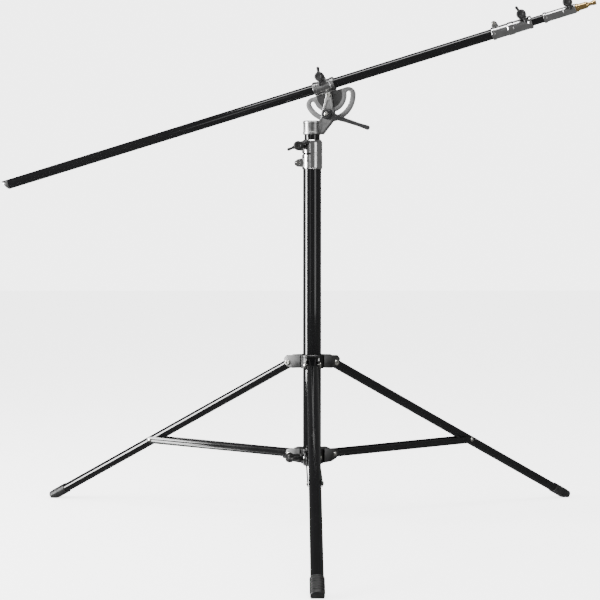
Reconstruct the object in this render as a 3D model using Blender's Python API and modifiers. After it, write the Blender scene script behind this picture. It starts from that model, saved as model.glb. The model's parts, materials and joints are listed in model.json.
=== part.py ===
"""Boom light stand: a folding tripod, a two-section column and a tilting, telescopic boom.

Run with: blender --background --python part.py

Units are metres and +Z is up. The column is built about the empty "stand_frame", whose local
origin is on the floor under the column. The boom lies in the XZ plane of "head_frame", which
is turned about the column. Every moving piece has its origin, or its parent empty, on the
axis that it moves about or along.
"""

import math

import bmesh
import bpy

# ---------------------------------------------------------------- driving dimensions
GAP = 0.0003                      # running and touching gap between separate pieces

# Where the column stands, so that the whole stand is centred on the origin
COLUMN_X = 0.0435018
COLUMN_Y = 0.197858

# Telescopic column
COLUMN_R = 0.0225
COLUMN_WALL = 0.00175
COLUMN_BOTTOM = 0.1535
COLUMN_TOP = 0.9265
RISER_R = 0.0190
RISER_WALL = 0.0015
RISER_BOTTOM = 0.205
RISER_TOP = 0.9900

# Collar at the top of the column tube
COLLAR_BOTTOM = 0.880
COLLAR_TOP = 0.952
COLLAR_R = 0.0250
COLLAR_SLOT_Z = 0.9175
COLLAR_SLOT_HALF = 0.0020
COLLAR_KNOB_X = -0.0345
COLLAR_KNOB_Z = 0.937
COLLAR_SCREW_Z = 0.896

# Head and tilt joint, in the head frame
HEAD_YAW = math.radians(-14.4)
BOOM_SLOPE = math.radians(15.84)
PIVOT_X = 0.044
PIVOT_Z = 1.060
HEAD_BOTTOM = 0.9645
HEAD_TOP = 0.9985
FORK_HALF = 0.0110
DISC_R = 0.0645
DISC_HALF = 0.0035
DISC_CHORD = 0.0070               # flat top of the disc above the pivot
DISC_CORNER = 0.0180
SLOT_R = 0.047
SLOT_HALF = 0.0050
SLOT_REACH = math.radians(80)
PIVOT_BOLT_R = 0.0030
STUD_R = 0.0040

# Boom, measured along its own axis from the foot of the tilt pivot
BOOM_RISE = 0.025                 # boom axis above the tilt pivot
BOOM_R = 0.0125
BOOM_WALL = 0.0015
BOOM_REAR = -0.870
BOOM_FRONT = 0.470
INNER_R = 0.0100
INNER_WALL = 0.0015
INNER_REAR = -0.200
INNER_FRONT = 0.562
CLAMP_REAR = -0.034
CLAMP_FRONT = 0.020
JOINT_REAR = 0.420
JOINT_FRONT = 0.519
END_REAR = 0.547
END_FRONT = 0.625
SPIGOT_R = 0.0080
SPIGOT_TIP = 0.674

# Ratchet lever of the tilt joint
LEVER_LENGTH = 0.112
LEVER_DROOP = math.radians(18.7)

# Clamp bolts and their T-shaped knobs
BOLT_R = 0.0030
SCREW_R = 0.0024
KNOB_HUB_R = 0.0112
KNOB_NECK_R = 0.0080
KNOB_HEIGHT = 0.0185

# Tripod
LEG_NAMES = ("front", "right", "left")
LEG_AZIMUTHS = (math.radians(-90), math.radians(30), math.radians(150))
LEG_SLOPE = math.radians(28)      # below horizontal, legs spread
LEG_PIVOT_R = 0.060
LEG_PIVOT_Z = 0.402
LEG_HALF_WIDTH = 0.0140
LEG_HALF_HEIGHT = 0.0110
LEG_WALL = 0.0016
LEG_HEEL = 0.012                  # tube end behind the pivot
LEG_LENGTH = 0.826
FOOT_HALF_HEIGHT = 0.0130
FOOT_HALF_WIDTH = 0.0160
FOOT_START = 0.792
FOOT_END = 0.846
LEG_COLLAR_BOTTOM = 0.390
LEG_COLLAR_TOP = 0.424
LEG_EAR_IN = 0.0143
LEG_EAR_OUT = 0.0176
BRACE_JOINT_ON_LEG = 0.4717       # from the leg's pivot to the brace's bolt

# Sliding brace collar and the flat braces
BRACE_PIVOT_R = 0.055
BRACE_PIVOT_Z = 0.175
BRACE_COLLAR_BOTTOM = 0.1538
BRACE_COLLAR_TOP = 0.191
BRACE_HALF_HEIGHT = 0.0085
BRACE_IN = 0.0146
BRACE_OUT = 0.0168
BRACE_EAR_IN = 0.0171
BRACE_EAR_OUT = 0.0200
BRACE_KNOB_AZIMUTH = math.radians(210)
BRACE_KNOB_Z = 0.1715

# Directions for pieces that are modelled along their local +Z
ALONG_X = (0.0, math.pi / 2, 0.0)
ALONG_Y = (-math.pi / 2, 0.0, 0.0)
TO_FRONT = (math.pi / 2, 0.0, 0.0)
UPRIGHT = (0.0, 0.0, 0.0)

SIDES = (("near", TO_FRONT), ("far", ALONG_Y))      # the two flanks of a leg

FINE = 24                         # sides of a tube
SMALL = 8                         # sides of a screw
DRILL_PHASE = 0.07                # turn of a hole's facets

# ---------------------------------------------------------------- scene and materials


def clear_scene():
    """Remove every object, so that the script can be run again."""
    for obj in list(bpy.data.objects):
        bpy.data.objects.remove(obj, do_unlink=True)


def new_collection(name, hidden=False):
    """Return a new collection under the scene's own."""
    collection = bpy.data.collections.new(name)
    bpy.context.scene.collection.children.link(collection)
    collection.hide_render = hidden
    return collection


def principled(name, colour, roughness, metallic):
    """Return a Principled material of one colour."""
    material = bpy.data.materials.new(name)
    material.use_nodes = True
    shader = material.node_tree.nodes["Principled BSDF"]
    shader.inputs["Base Color"].default_value = (*colour, 1.0)
    shader.inputs["Roughness"].default_value = roughness
    shader.inputs["Metallic"].default_value = metallic
    material.diffuse_color = (*colour, 1.0)
    return material


clear_scene()
PARTS = new_collection("boom_light_stand")
CUTTERS = new_collection("cutters", hidden=True)

# ---------------------------------------------------------------- modelling helpers


def place(obj, parent, location=(0, 0, 0), rotation=UPRIGHT):
    """Parent an object and set its local place."""
    obj.parent = parent
    obj.location = location
    obj.rotation_euler = rotation
    return obj


def empty(name, parent, location=(0, 0, 0), rotation=UPRIGHT):
    """Return an empty that carries a joint's frame."""
    obj = bpy.data.objects.new(name, None)
    obj.empty_display_size = 0.03
    PARTS.objects.link(obj)
    return place(obj, parent, location, rotation)


def finish(obj, colour, roughness, metallic):
    """Give a sub-part its own material and move it to the parts collection."""
    obj.data.materials.clear()
    obj.data.materials.append(principled(obj.name + "_finish", colour, roughness, metallic))
    if obj.name not in PARTS.objects:
        CUTTERS.objects.unlink(obj)
        PARTS.objects.link(obj)
    obj.hide_render = False
    obj.display_type = "TEXTURED"
    return obj


def helper_object(name, mesh, parent, location, rotation):
    """Return an object in the cutters' collection; finish() turns it into a sub-part."""
    obj = bpy.data.objects.new(name, mesh)
    CUTTERS.objects.link(obj)
    obj.hide_render = True
    obj.display_type = "WIRE"
    return place(obj, parent, location, rotation)


def turned(name, profile, parent, location=(0, 0, 0), rotation=UPRIGHT, sides=FINE, ring=False,
           phase=0.0):
    """Turn a profile of (radius, height) points about local Z.

    The profile runs from top to bottom on the outer side. A ring's profile closes on itself;
    any other starts and ends on the axis. The phase turns the facets.
    """
    mesh = bpy.data.meshes.new(name)
    bm = bmesh.new()
    across, along = math.cos(phase), math.sin(phase)
    points = [bm.verts.new((radius * across, radius * along, height)) for radius, height in profile]
    for first, second in zip(points, points[1:]):
        bm.edges.new((first, second))
    if ring:
        bm.edges.new((points[-1], points[0]))
    bm.to_mesh(mesh)
    bm.free()
    obj = helper_object(name, mesh, parent, location, rotation)
    screw = obj.modifiers.new("turn", "SCREW")
    screw.axis = "Z"
    screw.steps = sides
    screw.render_steps = sides
    screw.use_merge_vertices = True
    screw.merge_threshold = 0.00001
    screw.use_smooth_shade = sides > 6
    return obj


def cylinder(name, radius, bottom, top, parent, location=(0, 0, 0), rotation=UPRIGHT, sides=FINE):
    """Return a solid cylinder from one height to another along local Z."""
    profile = [(0.0, top), (radius, top), (radius, bottom), (0.0, bottom)]
    return turned(name, profile, parent, location, rotation, sides)


def drill(name, radius, bottom, top, parent, location=(0, 0, 0), rotation=UPRIGHT, sides=FINE):
    """Return a cutter for a round hole, its facets outside the given radius.

    The phase keeps its corners off the planes of the piece that it cuts.
    """
    corner = radius / math.cos(math.pi / sides)
    profile = [(0.0, top), (corner, top), (corner, bottom), (0.0, bottom)]
    return turned(name, profile, parent, location, rotation, sides, phase=DRILL_PHASE)


def tube(name, radius, bore, bottom, top, parent, location=(0, 0, 0), rotation=UPRIGHT):
    """Return an open tube from one height to another along local Z."""
    profile = [(bore, top), (radius, top), (radius, bottom), (bore, bottom)]
    return turned(name, profile, parent, location, rotation, ring=True)


def arc(centre, radius, start, end, count):
    """Return points on an arc, its ends included."""
    step = (end - start) / (count - 1)
    angles = [start + step * index for index in range(count)]
    return [(centre[0] + radius * math.cos(a), centre[1] + radius * math.sin(a)) for a in angles]


def hole_outline(centre, radius):
    """Return a round opening for a flat outline, its facets outside the given radius."""
    step = 2 * math.pi / SMALL
    return arc(centre, radius / math.cos(step / 2), DRILL_PHASE, DRILL_PHASE + 2 * math.pi - step, SMALL)


def stadium(half_length, radius, count=7):
    """Return an outline with round ends, long along local Y."""
    flat = half_length - radius
    top = arc((0.0, flat), radius, 0.0, math.pi, count)
    bottom = arc((0.0, -flat), radius, math.pi, 2 * math.pi, count)
    return top + bottom


def plate(name, outlines, low, high, parent, location=(0, 0, 0), rotation=UPRIGHT):
    """Extrude flat outlines along local Z from low to high; inner outlines are openings."""
    curve = bpy.data.curves.new(name + "_outline", "CURVE")
    curve.dimensions = "2D"
    curve.fill_mode = "BOTH"
    curve.extrude = (high - low) / 2
    for outline in outlines:
        spline = curve.splines.new("POLY")
        spline.points.add(len(outline) - 1)
        for point, (x, y) in zip(spline.points, outline):
            point.co = (x, y, 0.0, 1.0)
        spline.use_cyclic_u = True
    source = bpy.data.objects.new(name + "_curve", curve)
    CUTTERS.objects.link(source)
    graph = bpy.context.evaluated_depsgraph_get()
    mesh = bpy.data.meshes.new_from_object(source.evaluated_get(graph))
    bpy.data.objects.remove(source, do_unlink=True)
    bm = bmesh.new()
    bm.from_mesh(mesh)
    bmesh.ops.remove_doubles(bm, verts=bm.verts, dist=0.00001)
    bmesh.ops.translate(bm, verts=bm.verts, vec=(0.0, 0.0, (high + low) / 2))
    bmesh.ops.recalc_face_normals(bm, faces=bm.faces)
    bm.to_mesh(mesh)
    bm.free()
    mesh.name = name
    return helper_object(name, mesh, parent, location, rotation)


def block(name, low, high, parent, location=(0, 0, 0), rotation=UPRIGHT):
    """Return a box between two corners."""
    mesh = bpy.data.meshes.new(name)
    bm = bmesh.new()
    bmesh.ops.create_cube(bm, size=1.0)
    size = [b - a for a, b in zip(low, high)]
    middle = [(a + b) / 2 for a, b in zip(low, high)]
    bmesh.ops.scale(bm, verts=bm.verts, vec=size)
    bmesh.ops.translate(bm, verts=bm.verts, vec=middle)
    bm.to_mesh(mesh)
    bm.free()
    return helper_object(name, mesh, parent, location, rotation)


def boolean(obj, other, operation):
    """Add one exact Boolean modifier."""
    modifier = obj.modifiers.new(operation.lower() + "_" + other.name, "BOOLEAN")
    modifier.object = other
    modifier.operation = operation
    modifier.solver = "EXACT"


def join(obj, *others):
    """Unite helper solids with a piece."""
    for other in others:
        boolean(obj, other, "UNION")
    return obj


def cut(obj, *others):
    """Cut helper solids from a piece."""
    for other in others:
        boolean(obj, other, "DIFFERENCE")
    return obj


# ---------------------------------------------------------------- shared hardware


def t_knob(name, parent, location, rotation, half_bar, shank, stem=0.0):
    """Make a T-shaped clamp knob and its bolt; local +Z points away from the clamp.

    The stem is extra length under the bar, where the bar has to swing past a wide collar.
    """
    frame = empty(name + "_axis", parent, location, rotation)
    hole = BOLT_R + GAP
    crown = KNOB_HEIGHT + stem
    hub_profile = [(0.0, crown), (KNOB_HUB_R * 0.72, crown), (KNOB_HUB_R, 0.0140 + stem),
                   (KNOB_HUB_R, 0.0060 + stem), (KNOB_NECK_R, 0.0040 + stem), (KNOB_NECK_R, 0.0),
                   (hole, 0.0), (hole, 0.0080), (0.0, 0.0080)]
    knob = turned(name, hub_profile, frame, sides=16)
    tip, waist = 0.0036, 0.0060
    right = arc((0.0, half_bar - tip), tip, math.radians(-10), math.radians(190), 7)
    left = arc((0.0, tip - half_bar), tip, math.radians(170), math.radians(370), 7)
    bar_outline = right + [(-waist, 0.0040), (-waist, -0.0040)] + left + [(waist, -0.0040), (waist, 0.0040)]
    join(knob, plate(name + "_bar", [bar_outline], 0.0095 + stem, 0.0172 + stem, frame))
    finish(knob, (0.012, 0.012, 0.013), 0.45, 0.0)
    bolt = turned(name + "_bolt", [(0.0, 0.0077), (BOLT_R, 0.0077), (BOLT_R, -shank), (0.0, -shank)],
                  frame, sides=SMALL)
    finish(bolt, (0.62, 0.62, 0.60), 0.30, 1.0)


def cap_nut(name, parent, location, rotation, radius=0.0056, height=0.0050):
    """Make a closed hexagon nut; local +Z points away from the clamp."""
    profile = [(0.0, height), (radius * 0.8, height), (radius, height * 0.75), (radius, 0.0), (0.0, 0.0)]
    nut = turned(name, profile, parent, location, rotation, sides=6)
    return finish(nut, (0.60, 0.60, 0.58), 0.32, 1.0)


def screw_profile(head_r, head_h, shank_r, shank):
    """Return the profile of a socket screw, head above zero and shank below."""
    socket = head_r * 0.5
    return [(0.0, head_h * 0.4), (socket, head_h * 0.4), (socket, head_h), (head_r * 0.92, head_h),
            (head_r, head_h * 0.8), (head_r, 0.0), (shank_r, 0.0), (shank_r, -shank), (0.0, -shank)]


def socket_screw(name, parent, location, rotation, shank, head_r=0.0044, shank_r=SCREW_R):
    """Make a socket screw; local +Z points out of the hole."""
    screw = turned(name, screw_profile(head_r, 0.0036, shank_r, shank), parent, location, rotation,
                   sides=SMALL)
    return finish(screw, (0.60, 0.60, 0.58), 0.30, 1.0)


# ---------------------------------------------------------------- frames

stand = empty("stand_frame", None, (COLUMN_X, COLUMN_Y, 0.0))
head = empty("head_frame", stand, rotation=(0.0, 0.0, HEAD_YAW))
tilt = empty("tilt_frame", head, (PIVOT_X, 0.0, PIVOT_Z), (0.0, -BOOM_SLOPE, 0.0))
boom = empty("boom_frame", tilt, (0.0, 0.0, BOOM_RISE))

# ---------------------------------------------------------------- column


def make_column():
    """Make the column tube, its end plug and the guide bush inside it."""
    bore = COLUMN_R - COLUMN_WALL
    outer = tube("column_tube", COLUMN_R, bore, 0.0, COLUMN_TOP - COLUMN_BOTTOM, stand,
                 (0, 0, COLUMN_BOTTOM))
    finish(outer, (0.010, 0.010, 0.011), 0.14, 0.0)

    spigot_r = bore - GAP
    plug_profile = [(0.0, 0.0180), (spigot_r, 0.0180), (spigot_r, -GAP), (COLUMN_R, -GAP),
                    (COLUMN_R, -0.0035), (COLUMN_R - 0.0025, -0.0060), (0.0, -0.0060)]
    plug = turned("column_end_plug", plug_profile, stand, (0, 0, COLUMN_BOTTOM))
    finish(plug, (0.015, 0.015, 0.015), 0.55, 0.0)

    bush = tube("column_guide_bush", bore - GAP, RISER_R + GAP, 0.0, 0.040, stand,
                (0, 0, COLUMN_TOP - 0.0405))
    finish(bush, (0.55, 0.55, 0.52), 0.50, 0.0)


def make_column_collar():
    """Make the split casting that grips the column tube and clamps the riser."""
    tube_bore = COLUMN_R + GAP
    riser_bore = RISER_R + GAP
    step = COLUMN_TOP + GAP
    profile = [(0.0, COLLAR_TOP), (0.0222, COLLAR_TOP), (COLLAR_R, COLLAR_TOP - 0.006),
               (COLLAR_R, COLLAR_BOTTOM + 0.001), (COLLAR_R - 0.0008, COLLAR_BOTTOM),
               (0.0, COLLAR_BOTTOM)]
    collar = turned("column_collar", profile, stand)

    upper = [(-0.0235, COLLAR_KNOB_Z - 0.0110), (-0.0235, COLLAR_KNOB_Z + 0.0110),
             (-0.0375, COLLAR_KNOB_Z + 0.0095), (-0.0445, COLLAR_KNOB_Z + 0.0030),
             (-0.0445, COLLAR_KNOB_Z - 0.0050), (-0.0390, COLLAR_KNOB_Z - 0.0110)]
    lower = [(-0.0235, COLLAR_SCREW_Z - 0.0100), (-0.0235, COLLAR_SCREW_Z + 0.0100),
             (-0.0360, COLLAR_SCREW_Z + 0.0085), (-0.0440, COLLAR_SCREW_Z + 0.0020),
             (-0.0440, COLLAR_SCREW_Z - 0.0040), (-0.0370, COLLAR_SCREW_Z - 0.0100)]
    join(collar,
         plate("collar_upper_lugs", [upper, hole_outline((COLLAR_KNOB_X, COLLAR_KNOB_Z), BOLT_R + GAP)],
               -0.0075, 0.0075, stand, rotation=TO_FRONT),
         plate("collar_lower_lugs", [lower, hole_outline((COLLAR_KNOB_X, COLLAR_SCREW_Z), SCREW_R + GAP)],
               -0.0070, 0.0070, stand, rotation=TO_FRONT))
    cut(collar,
        block("collar_split", (-0.060, -0.0010, COLLAR_SLOT_Z), (-0.015, 0.0010, 0.970), stand),
        block("collar_lower_split", (-0.060, -0.0009, 0.870), (-0.0152, 0.0009, 0.912), stand),
        block("collar_cross_slot", (-0.060, -0.030, COLLAR_SLOT_Z - COLLAR_SLOT_HALF),
              (-0.004, 0.030, COLLAR_SLOT_Z + COLLAR_SLOT_HALF), stand),
        drill("collar_tube_bore", tube_bore, COLLAR_BOTTOM - 0.01, step, stand),
        drill("collar_riser_bore", riser_bore, step - 0.01, COLLAR_TOP + 0.01, stand))
    finish(collar, (0.58, 0.58, 0.57), 0.22, 1.0)

    socket_screw("column_collar_screw", stand, (COLLAR_KNOB_X, -0.0070 - GAP, COLLAR_SCREW_Z),
                 TO_FRONT, 0.0135)
    cap_nut("column_clamp_nut", stand, (COLLAR_KNOB_X, 0.0075 + GAP, COLLAR_KNOB_Z), ALONG_Y)
    t_knob("column_knob", stand, (COLLAR_KNOB_X, -0.0075 - GAP, COLLAR_KNOB_Z),
           (math.pi / 2, math.radians(68), 0.0), 0.0290, 0.0148, stem=0.0085)


def make_riser():
    """Make the sliding upper column section and the guide ring at its foot."""
    bore = RISER_R - RISER_WALL
    riser = tube("riser_tube", RISER_R, bore, 0.0, RISER_TOP - RISER_BOTTOM, stand,
                 (0, 0, RISER_BOTTOM))
    finish(riser, (0.010, 0.010, 0.011), 0.14, 0.0)
    guide_r = COLUMN_R - COLUMN_WALL - GAP
    profile = [(0.0, 0.0120), (bore - GAP, 0.0120), (bore - GAP, -GAP), (guide_r, -GAP),
               (guide_r, -0.0160), (0.0, -0.0160)]
    guide = turned("riser_guide", profile, stand, (0, 0, RISER_BOTTOM))
    finish(guide, (0.55, 0.55, 0.52), 0.50, 0.0)


# ---------------------------------------------------------------- tilting head


def make_head():
    """Make the swivelling head: a socket on the riser and a fork for the tilt disc."""
    profile = [(0.0, HEAD_TOP), (0.0212, HEAD_TOP), (0.0226, HEAD_TOP - 0.0018),
               (0.0226, HEAD_BOTTOM + 0.0015), (0.0214, HEAD_BOTTOM), (0.0, HEAD_BOTTOM)]
    casting = turned("head_casting", profile, head)
    crown = arc((PIVOT_X, PIVOT_Z), 0.0078, math.radians(-12), math.radians(195), 9)
    fork = [(0.0150, HEAD_TOP - 0.0050), (0.0205, HEAD_BOTTOM + 0.0006), (0.0275, HEAD_BOTTOM + 0.0006),
            (0.0575, 1.0030)] + crown + [(0.0230, 1.0030)]
    pivot_hole = hole_outline((PIVOT_X, PIVOT_Z), PIVOT_BOLT_R + GAP)
    stud_hole = hole_outline((PIVOT_X, PIVOT_Z - SLOT_R), STUD_R + GAP)
    join(casting, plate("head_fork", [fork, pivot_hole, stud_hole], -FORK_HALF, FORK_HALF, head,
                        rotation=TO_FRONT))
    slot_half = DISC_HALF + GAP
    cut(casting,
        drill("head_riser_bore", RISER_R + GAP, HEAD_BOTTOM - 0.01, RISER_TOP + GAP, head),
        drill("head_disc_slot", DISC_R + 0.0015, -slot_half, slot_half, head,
                 (PIVOT_X, 0, PIVOT_Z), TO_FRONT, 48))
    finish(casting, (0.30, 0.30, 0.30), 0.30, 1.0)

    screw = turned("tilt_pivot_bolt", screw_profile(0.0058, 0.0040, PIVOT_BOLT_R, 2 * FORK_HALF - 0.0006),
                   head, (PIVOT_X, -FORK_HALF - GAP, PIVOT_Z), TO_FRONT, sides=SMALL)
    finish(screw, (0.60, 0.60, 0.58), 0.28, 1.0)
    cap_nut("tilt_pivot_nut", head, (PIVOT_X, FORK_HALF + GAP, PIVOT_Z), ALONG_Y, 0.0062, 0.0052)

    stud_profile = [(0.0, 0.0200), (STUD_R, 0.0200), (STUD_R, -2 * FORK_HALF - GAP),
                    (0.0070, -2 * FORK_HALF - GAP), (0.0070, -2 * FORK_HALF - 0.0055),
                    (0.0, -2 * FORK_HALF - 0.0055)]
    stud = turned("lever_stud", stud_profile, head, (PIVOT_X, -FORK_HALF, PIVOT_Z - SLOT_R), TO_FRONT,
                  sides=SMALL)
    finish(stud, (0.58, 0.58, 0.56), 0.30, 1.0)


def make_lever():
    """Make the ratchet lever that squeezes the fork on the tilt disc."""
    frame = empty("lever_axis", head, (PIVOT_X, -FORK_HALF - GAP, PIVOT_Z - SLOT_R),
                  (math.pi / 2, 0.0, 0.0))
    hole = STUD_R + GAP
    boss_profile = [(0.0, 0.0260), (0.0105, 0.0260), (0.0130, 0.0235), (0.0130, 0.0020),
                    (0.0118, 0.0), (0.0, 0.0)]
    lever = turned("tilt_lever", boss_profile, frame, rotation=(0.0, 0.0, -LEVER_DROOP))
    tip = arc((LEVER_LENGTH - 0.0055, 0.0), 0.0055, math.radians(-90), math.radians(90), 7)
    arm = [(0.0, -0.0085), (0.030, -0.0062), (0.075, -0.0048)] + tip + [(0.075, 0.0048), (0.030, 0.0062),
                                                                     (0.0, 0.0085)]
    arm_solid = plate("lever_arm", [arm], 0.0148, 0.0222, frame, rotation=(0.0, 0.0, -LEVER_DROOP))
    join(lever, arm_solid)
    boss_bore = drill("lever_bore", hole, -0.001, 0.0203, frame, sides=SMALL)
    cut(lever, boss_bore, drill("lever_screw_recess", 0.0052, 0.0240, 0.0300, frame, sides=SMALL))
    finish(lever, (0.014, 0.014, 0.015), 0.42, 0.0)
    screw = turned("lever_cap_screw", [(0.0, 0.0262), (0.0020, 0.0262), (0.0020, 0.0278), (0.0044, 0.0278),
                                       (0.0048, 0.0270), (0.0048, 0.0243), (0.0, 0.0243)],
                   frame, sides=SMALL)
    finish(screw, (0.50, 0.50, 0.49), 0.32, 1.0)


def make_tilt_disc():
    """Make the slotted disc that tilts in the fork and carries the boom clamp."""
    corner_z = DISC_CHORD - DISC_CORNER
    corner_x = math.sqrt((DISC_R - DISC_CORNER) ** 2 - corner_z ** 2)
    dip = math.atan2(-corner_z, corner_x)
    rim = (arc((0.0, 0.0), DISC_R, math.pi + dip, 2 * math.pi - dip, 35)
           + arc((corner_x, corner_z), DISC_CORNER, -dip, math.pi / 2, 7)[1:]
           + arc((-corner_x, corner_z), DISC_CORNER, math.pi / 2, math.pi + dip, 7)[:-1])
    down = math.radians(-90)
    outer = arc((0.0, 0.0), SLOT_R + SLOT_HALF, down - SLOT_REACH, down + SLOT_REACH, 23)
    inner = arc((0.0, 0.0), SLOT_R - SLOT_HALF, down + SLOT_REACH, down - SLOT_REACH, 23)
    pivot_hole = hole_outline((0.0, 0.0), PIVOT_BOLT_R + GAP)
    disc = plate("tilt_disc", [rim, outer + inner, pivot_hole], -DISC_HALF, DISC_HALF, tilt,
                 rotation=TO_FRONT)
    finish(disc, (0.62, 0.62, 0.61), 0.28, 1.0)


def lug_outline(centre, half, base, top):
    """Return a rounded lug outline in the boom's XZ plane."""
    crown = arc((centre, top - half), half, 0.0, math.pi, 7)
    return [(centre - half - 0.002, base), (centre + half + 0.002, base)] + crown


def make_boom_clamp():
    """Make the sleeve on the tilt disc that grips the boom."""
    bore = BOOM_R + GAP
    profile = [(0.0, CLAMP_FRONT), (0.0156, CLAMP_FRONT), (0.0168, CLAMP_FRONT - 0.0012),
               (0.0168, CLAMP_REAR + 0.0012), (0.0156, CLAMP_REAR), (0.0, CLAMP_REAR)]
    clamp = turned("boom_clamp", profile, boom, rotation=ALONG_X)
    knob_x, knob_z = -0.009, 0.024
    foot_top = -0.0148
    foot_half = DISC_HALF - 0.0001
    join(clamp,
         plate("boom_clamp_lugs", [lug_outline(knob_x, 0.0085, 0.0135, knob_z + 0.0085),
                                   hole_outline((knob_x, knob_z), BOLT_R + GAP)],
               -0.0075, 0.0075, boom, rotation=TO_FRONT),
         block("boom_clamp_foot", (CLAMP_REAR + 0.002, -foot_half, DISC_CHORD + GAP - BOOM_RISE),
               (CLAMP_FRONT - 0.002, foot_half, foot_top), boom))
    cut(clamp,
        drill("boom_clamp_bore", bore, CLAMP_REAR - 0.01, CLAMP_FRONT + 0.01, boom, rotation=ALONG_X),
        block("boom_clamp_split", (CLAMP_REAR - 0.01, -0.0010, 0.005), (CLAMP_FRONT + 0.01, 0.0010, 0.040),
              boom))
    finish(clamp, (0.34, 0.34, 0.34), 0.30, 1.0)
    cap_nut("boom_clamp_nut", boom, (knob_x, 0.0075 + GAP, knob_z), ALONG_Y)
    t_knob("boom_knob", boom, (knob_x, -0.0075 - GAP, knob_z), (math.pi / 2, math.radians(8), 0.0),
           0.0240, 0.0148)


# ---------------------------------------------------------------- boom


def make_boom_tube():
    """Make the outer boom tube, its slash-cut end cap and the guide bush in its front end."""
    bore = BOOM_R - BOOM_WALL
    outer = tube("boom_tube", BOOM_R, bore, BOOM_REAR, BOOM_FRONT, boom, rotation=ALONG_X)
    finish(outer, (0.010, 0.010, 0.011), 0.14, 0.0)

    rear = BOOM_REAR - GAP
    cap_profile = [(0.0, rear + 0.0250), (bore - GAP, rear + 0.0250), (bore - GAP, rear), (BOOM_R, rear),
                   (BOOM_R, rear - 0.0200), (0.0, rear - 0.0200)]
    cap = turned("boom_end_cap", cap_profile, boom, rotation=ALONG_X)
    slash = block("boom_end_slash", (-0.060, -0.030, -0.030), (0.0, 0.030, 0.030), boom,
                  (rear - 0.0115, 0, 0), (0.0, math.radians(-28), 0.0))
    cut(cap, slash)
    finish(cap, (0.66, 0.66, 0.66), 0.16, 1.0)

    bush = tube("boom_guide_bush", bore - 0.0001, INNER_R + 0.0001, BOOM_FRONT - 0.036, BOOM_FRONT - 0.001,
                boom, rotation=ALONG_X)
    finish(bush, (0.55, 0.55, 0.52), 0.50, 0.0)


def make_joint_collar():
    """Make the collar at the boom's front that clamps the inner tube."""
    wide, narrow = BOOM_R + GAP, INNER_R + GAP
    step = BOOM_FRONT + GAP
    profile = [(0.0, JOINT_FRONT), (0.0142, JOINT_FRONT), (0.0156, JOINT_FRONT - 0.0014),
               (0.0156, JOINT_REAR + 0.0014), (0.0146, JOINT_REAR), (0.0, JOINT_REAR)]
    collar = turned("joint_collar", profile, boom, rotation=ALONG_X)
    screw_x, screw_z = JOINT_REAR + 0.011, 0.0225
    knob_x, knob_z = 0.500, 0.0225
    middle = step - 0.003
    join(collar,
         plate("joint_screw_lugs", [lug_outline(screw_x, 0.0075, 0.0125, screw_z + 0.0065),
                                    hole_outline((screw_x, screw_z), SCREW_R + GAP)],
               -0.0065, 0.0065, boom, rotation=TO_FRONT),
         plate("joint_knob_lugs", [lug_outline(knob_x, 0.0080, 0.0125, knob_z + 0.0070),
                                   hole_outline((knob_x, knob_z), BOLT_R + GAP)],
               -0.0065, 0.0065, boom, rotation=TO_FRONT))
    cut(collar,
        block("joint_rear_split", (JOINT_REAR - 0.01, -0.0008, 0.006), (middle - 0.010, 0.0008, 0.040), boom),
        block("joint_front_split", (middle + 0.008, -0.0010, 0.006),
              (JOINT_FRONT + 0.01, 0.0010, 0.040), boom),
        drill("joint_bore_rear", wide, JOINT_REAR - 0.01, step, boom, rotation=ALONG_X),
        drill("joint_bore_front", narrow, step - 0.01, JOINT_FRONT + 0.01, boom, rotation=ALONG_X))
    finish(collar, (0.62, 0.62, 0.61), 0.18, 1.0)
    socket_screw("joint_collar_screw", boom, (screw_x, -0.0065 - GAP, screw_z), TO_FRONT, 0.0125)
    cap_nut("joint_clamp_nut", boom, (knob_x, 0.0065 + GAP, knob_z), ALONG_Y)
    t_knob("joint_knob", boom, (knob_x, -0.0065 - GAP, knob_z), (math.pi / 2, math.radians(-20), 0.0),
           0.0225, 0.0128)


def make_boom_inner():
    """Make the sliding inner boom tube, the clamp on its end and the spigot."""
    inner = tube("boom_inner_tube", INNER_R, INNER_R - INNER_WALL, INNER_REAR, INNER_FRONT, boom,
                 rotation=ALONG_X)
    finish(inner, (0.010, 0.010, 0.011), 0.14, 0.0)

    tube_bore, spigot_bore = INNER_R + GAP, SPIGOT_R + GAP
    step = INNER_FRONT + GAP
    profile = [(0.0, END_FRONT), (0.0102, END_FRONT), (0.0112, END_FRONT - 0.0010),
               (0.0112, END_REAR + 0.0075), (0.0128, END_REAR + 0.0065), (0.0128, END_REAR + 0.0010),
               (0.0120, END_REAR), (0.0, END_REAR)]
    clamp = turned("end_clamp", profile, boom, rotation=ALONG_X)
    knob_x, knob_z = 0.611, 0.0175
    join(clamp, plate("end_clamp_lugs", [lug_outline(knob_x, 0.0070, 0.0092, knob_z + 0.0065),
                                         hole_outline((knob_x, knob_z), BOLT_R + GAP)],
                      -0.0066, 0.0066, boom, rotation=TO_FRONT))
    cut(clamp,
        block("end_clamp_split", (0.5925, -0.0009, 0.0045), (END_FRONT + 0.01, 0.0009, 0.030), boom),
        drill("end_clamp_tube_bore", tube_bore, END_REAR - 0.01, step, boom, rotation=ALONG_X),
        drill("end_clamp_bore", spigot_bore, step - 0.01, END_FRONT + 0.01, boom, rotation=ALONG_X))
    finish(clamp, (0.66, 0.66, 0.66), 0.14, 1.0)
    cap_nut("end_clamp_nut", boom, (knob_x, 0.0066 + GAP, knob_z), ALONG_Y)
    t_knob("end_knob", boom, (knob_x, -0.0066 - GAP, knob_z), (math.pi / 2, math.radians(-12), 0.0),
           0.0205, 0.0130)


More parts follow.
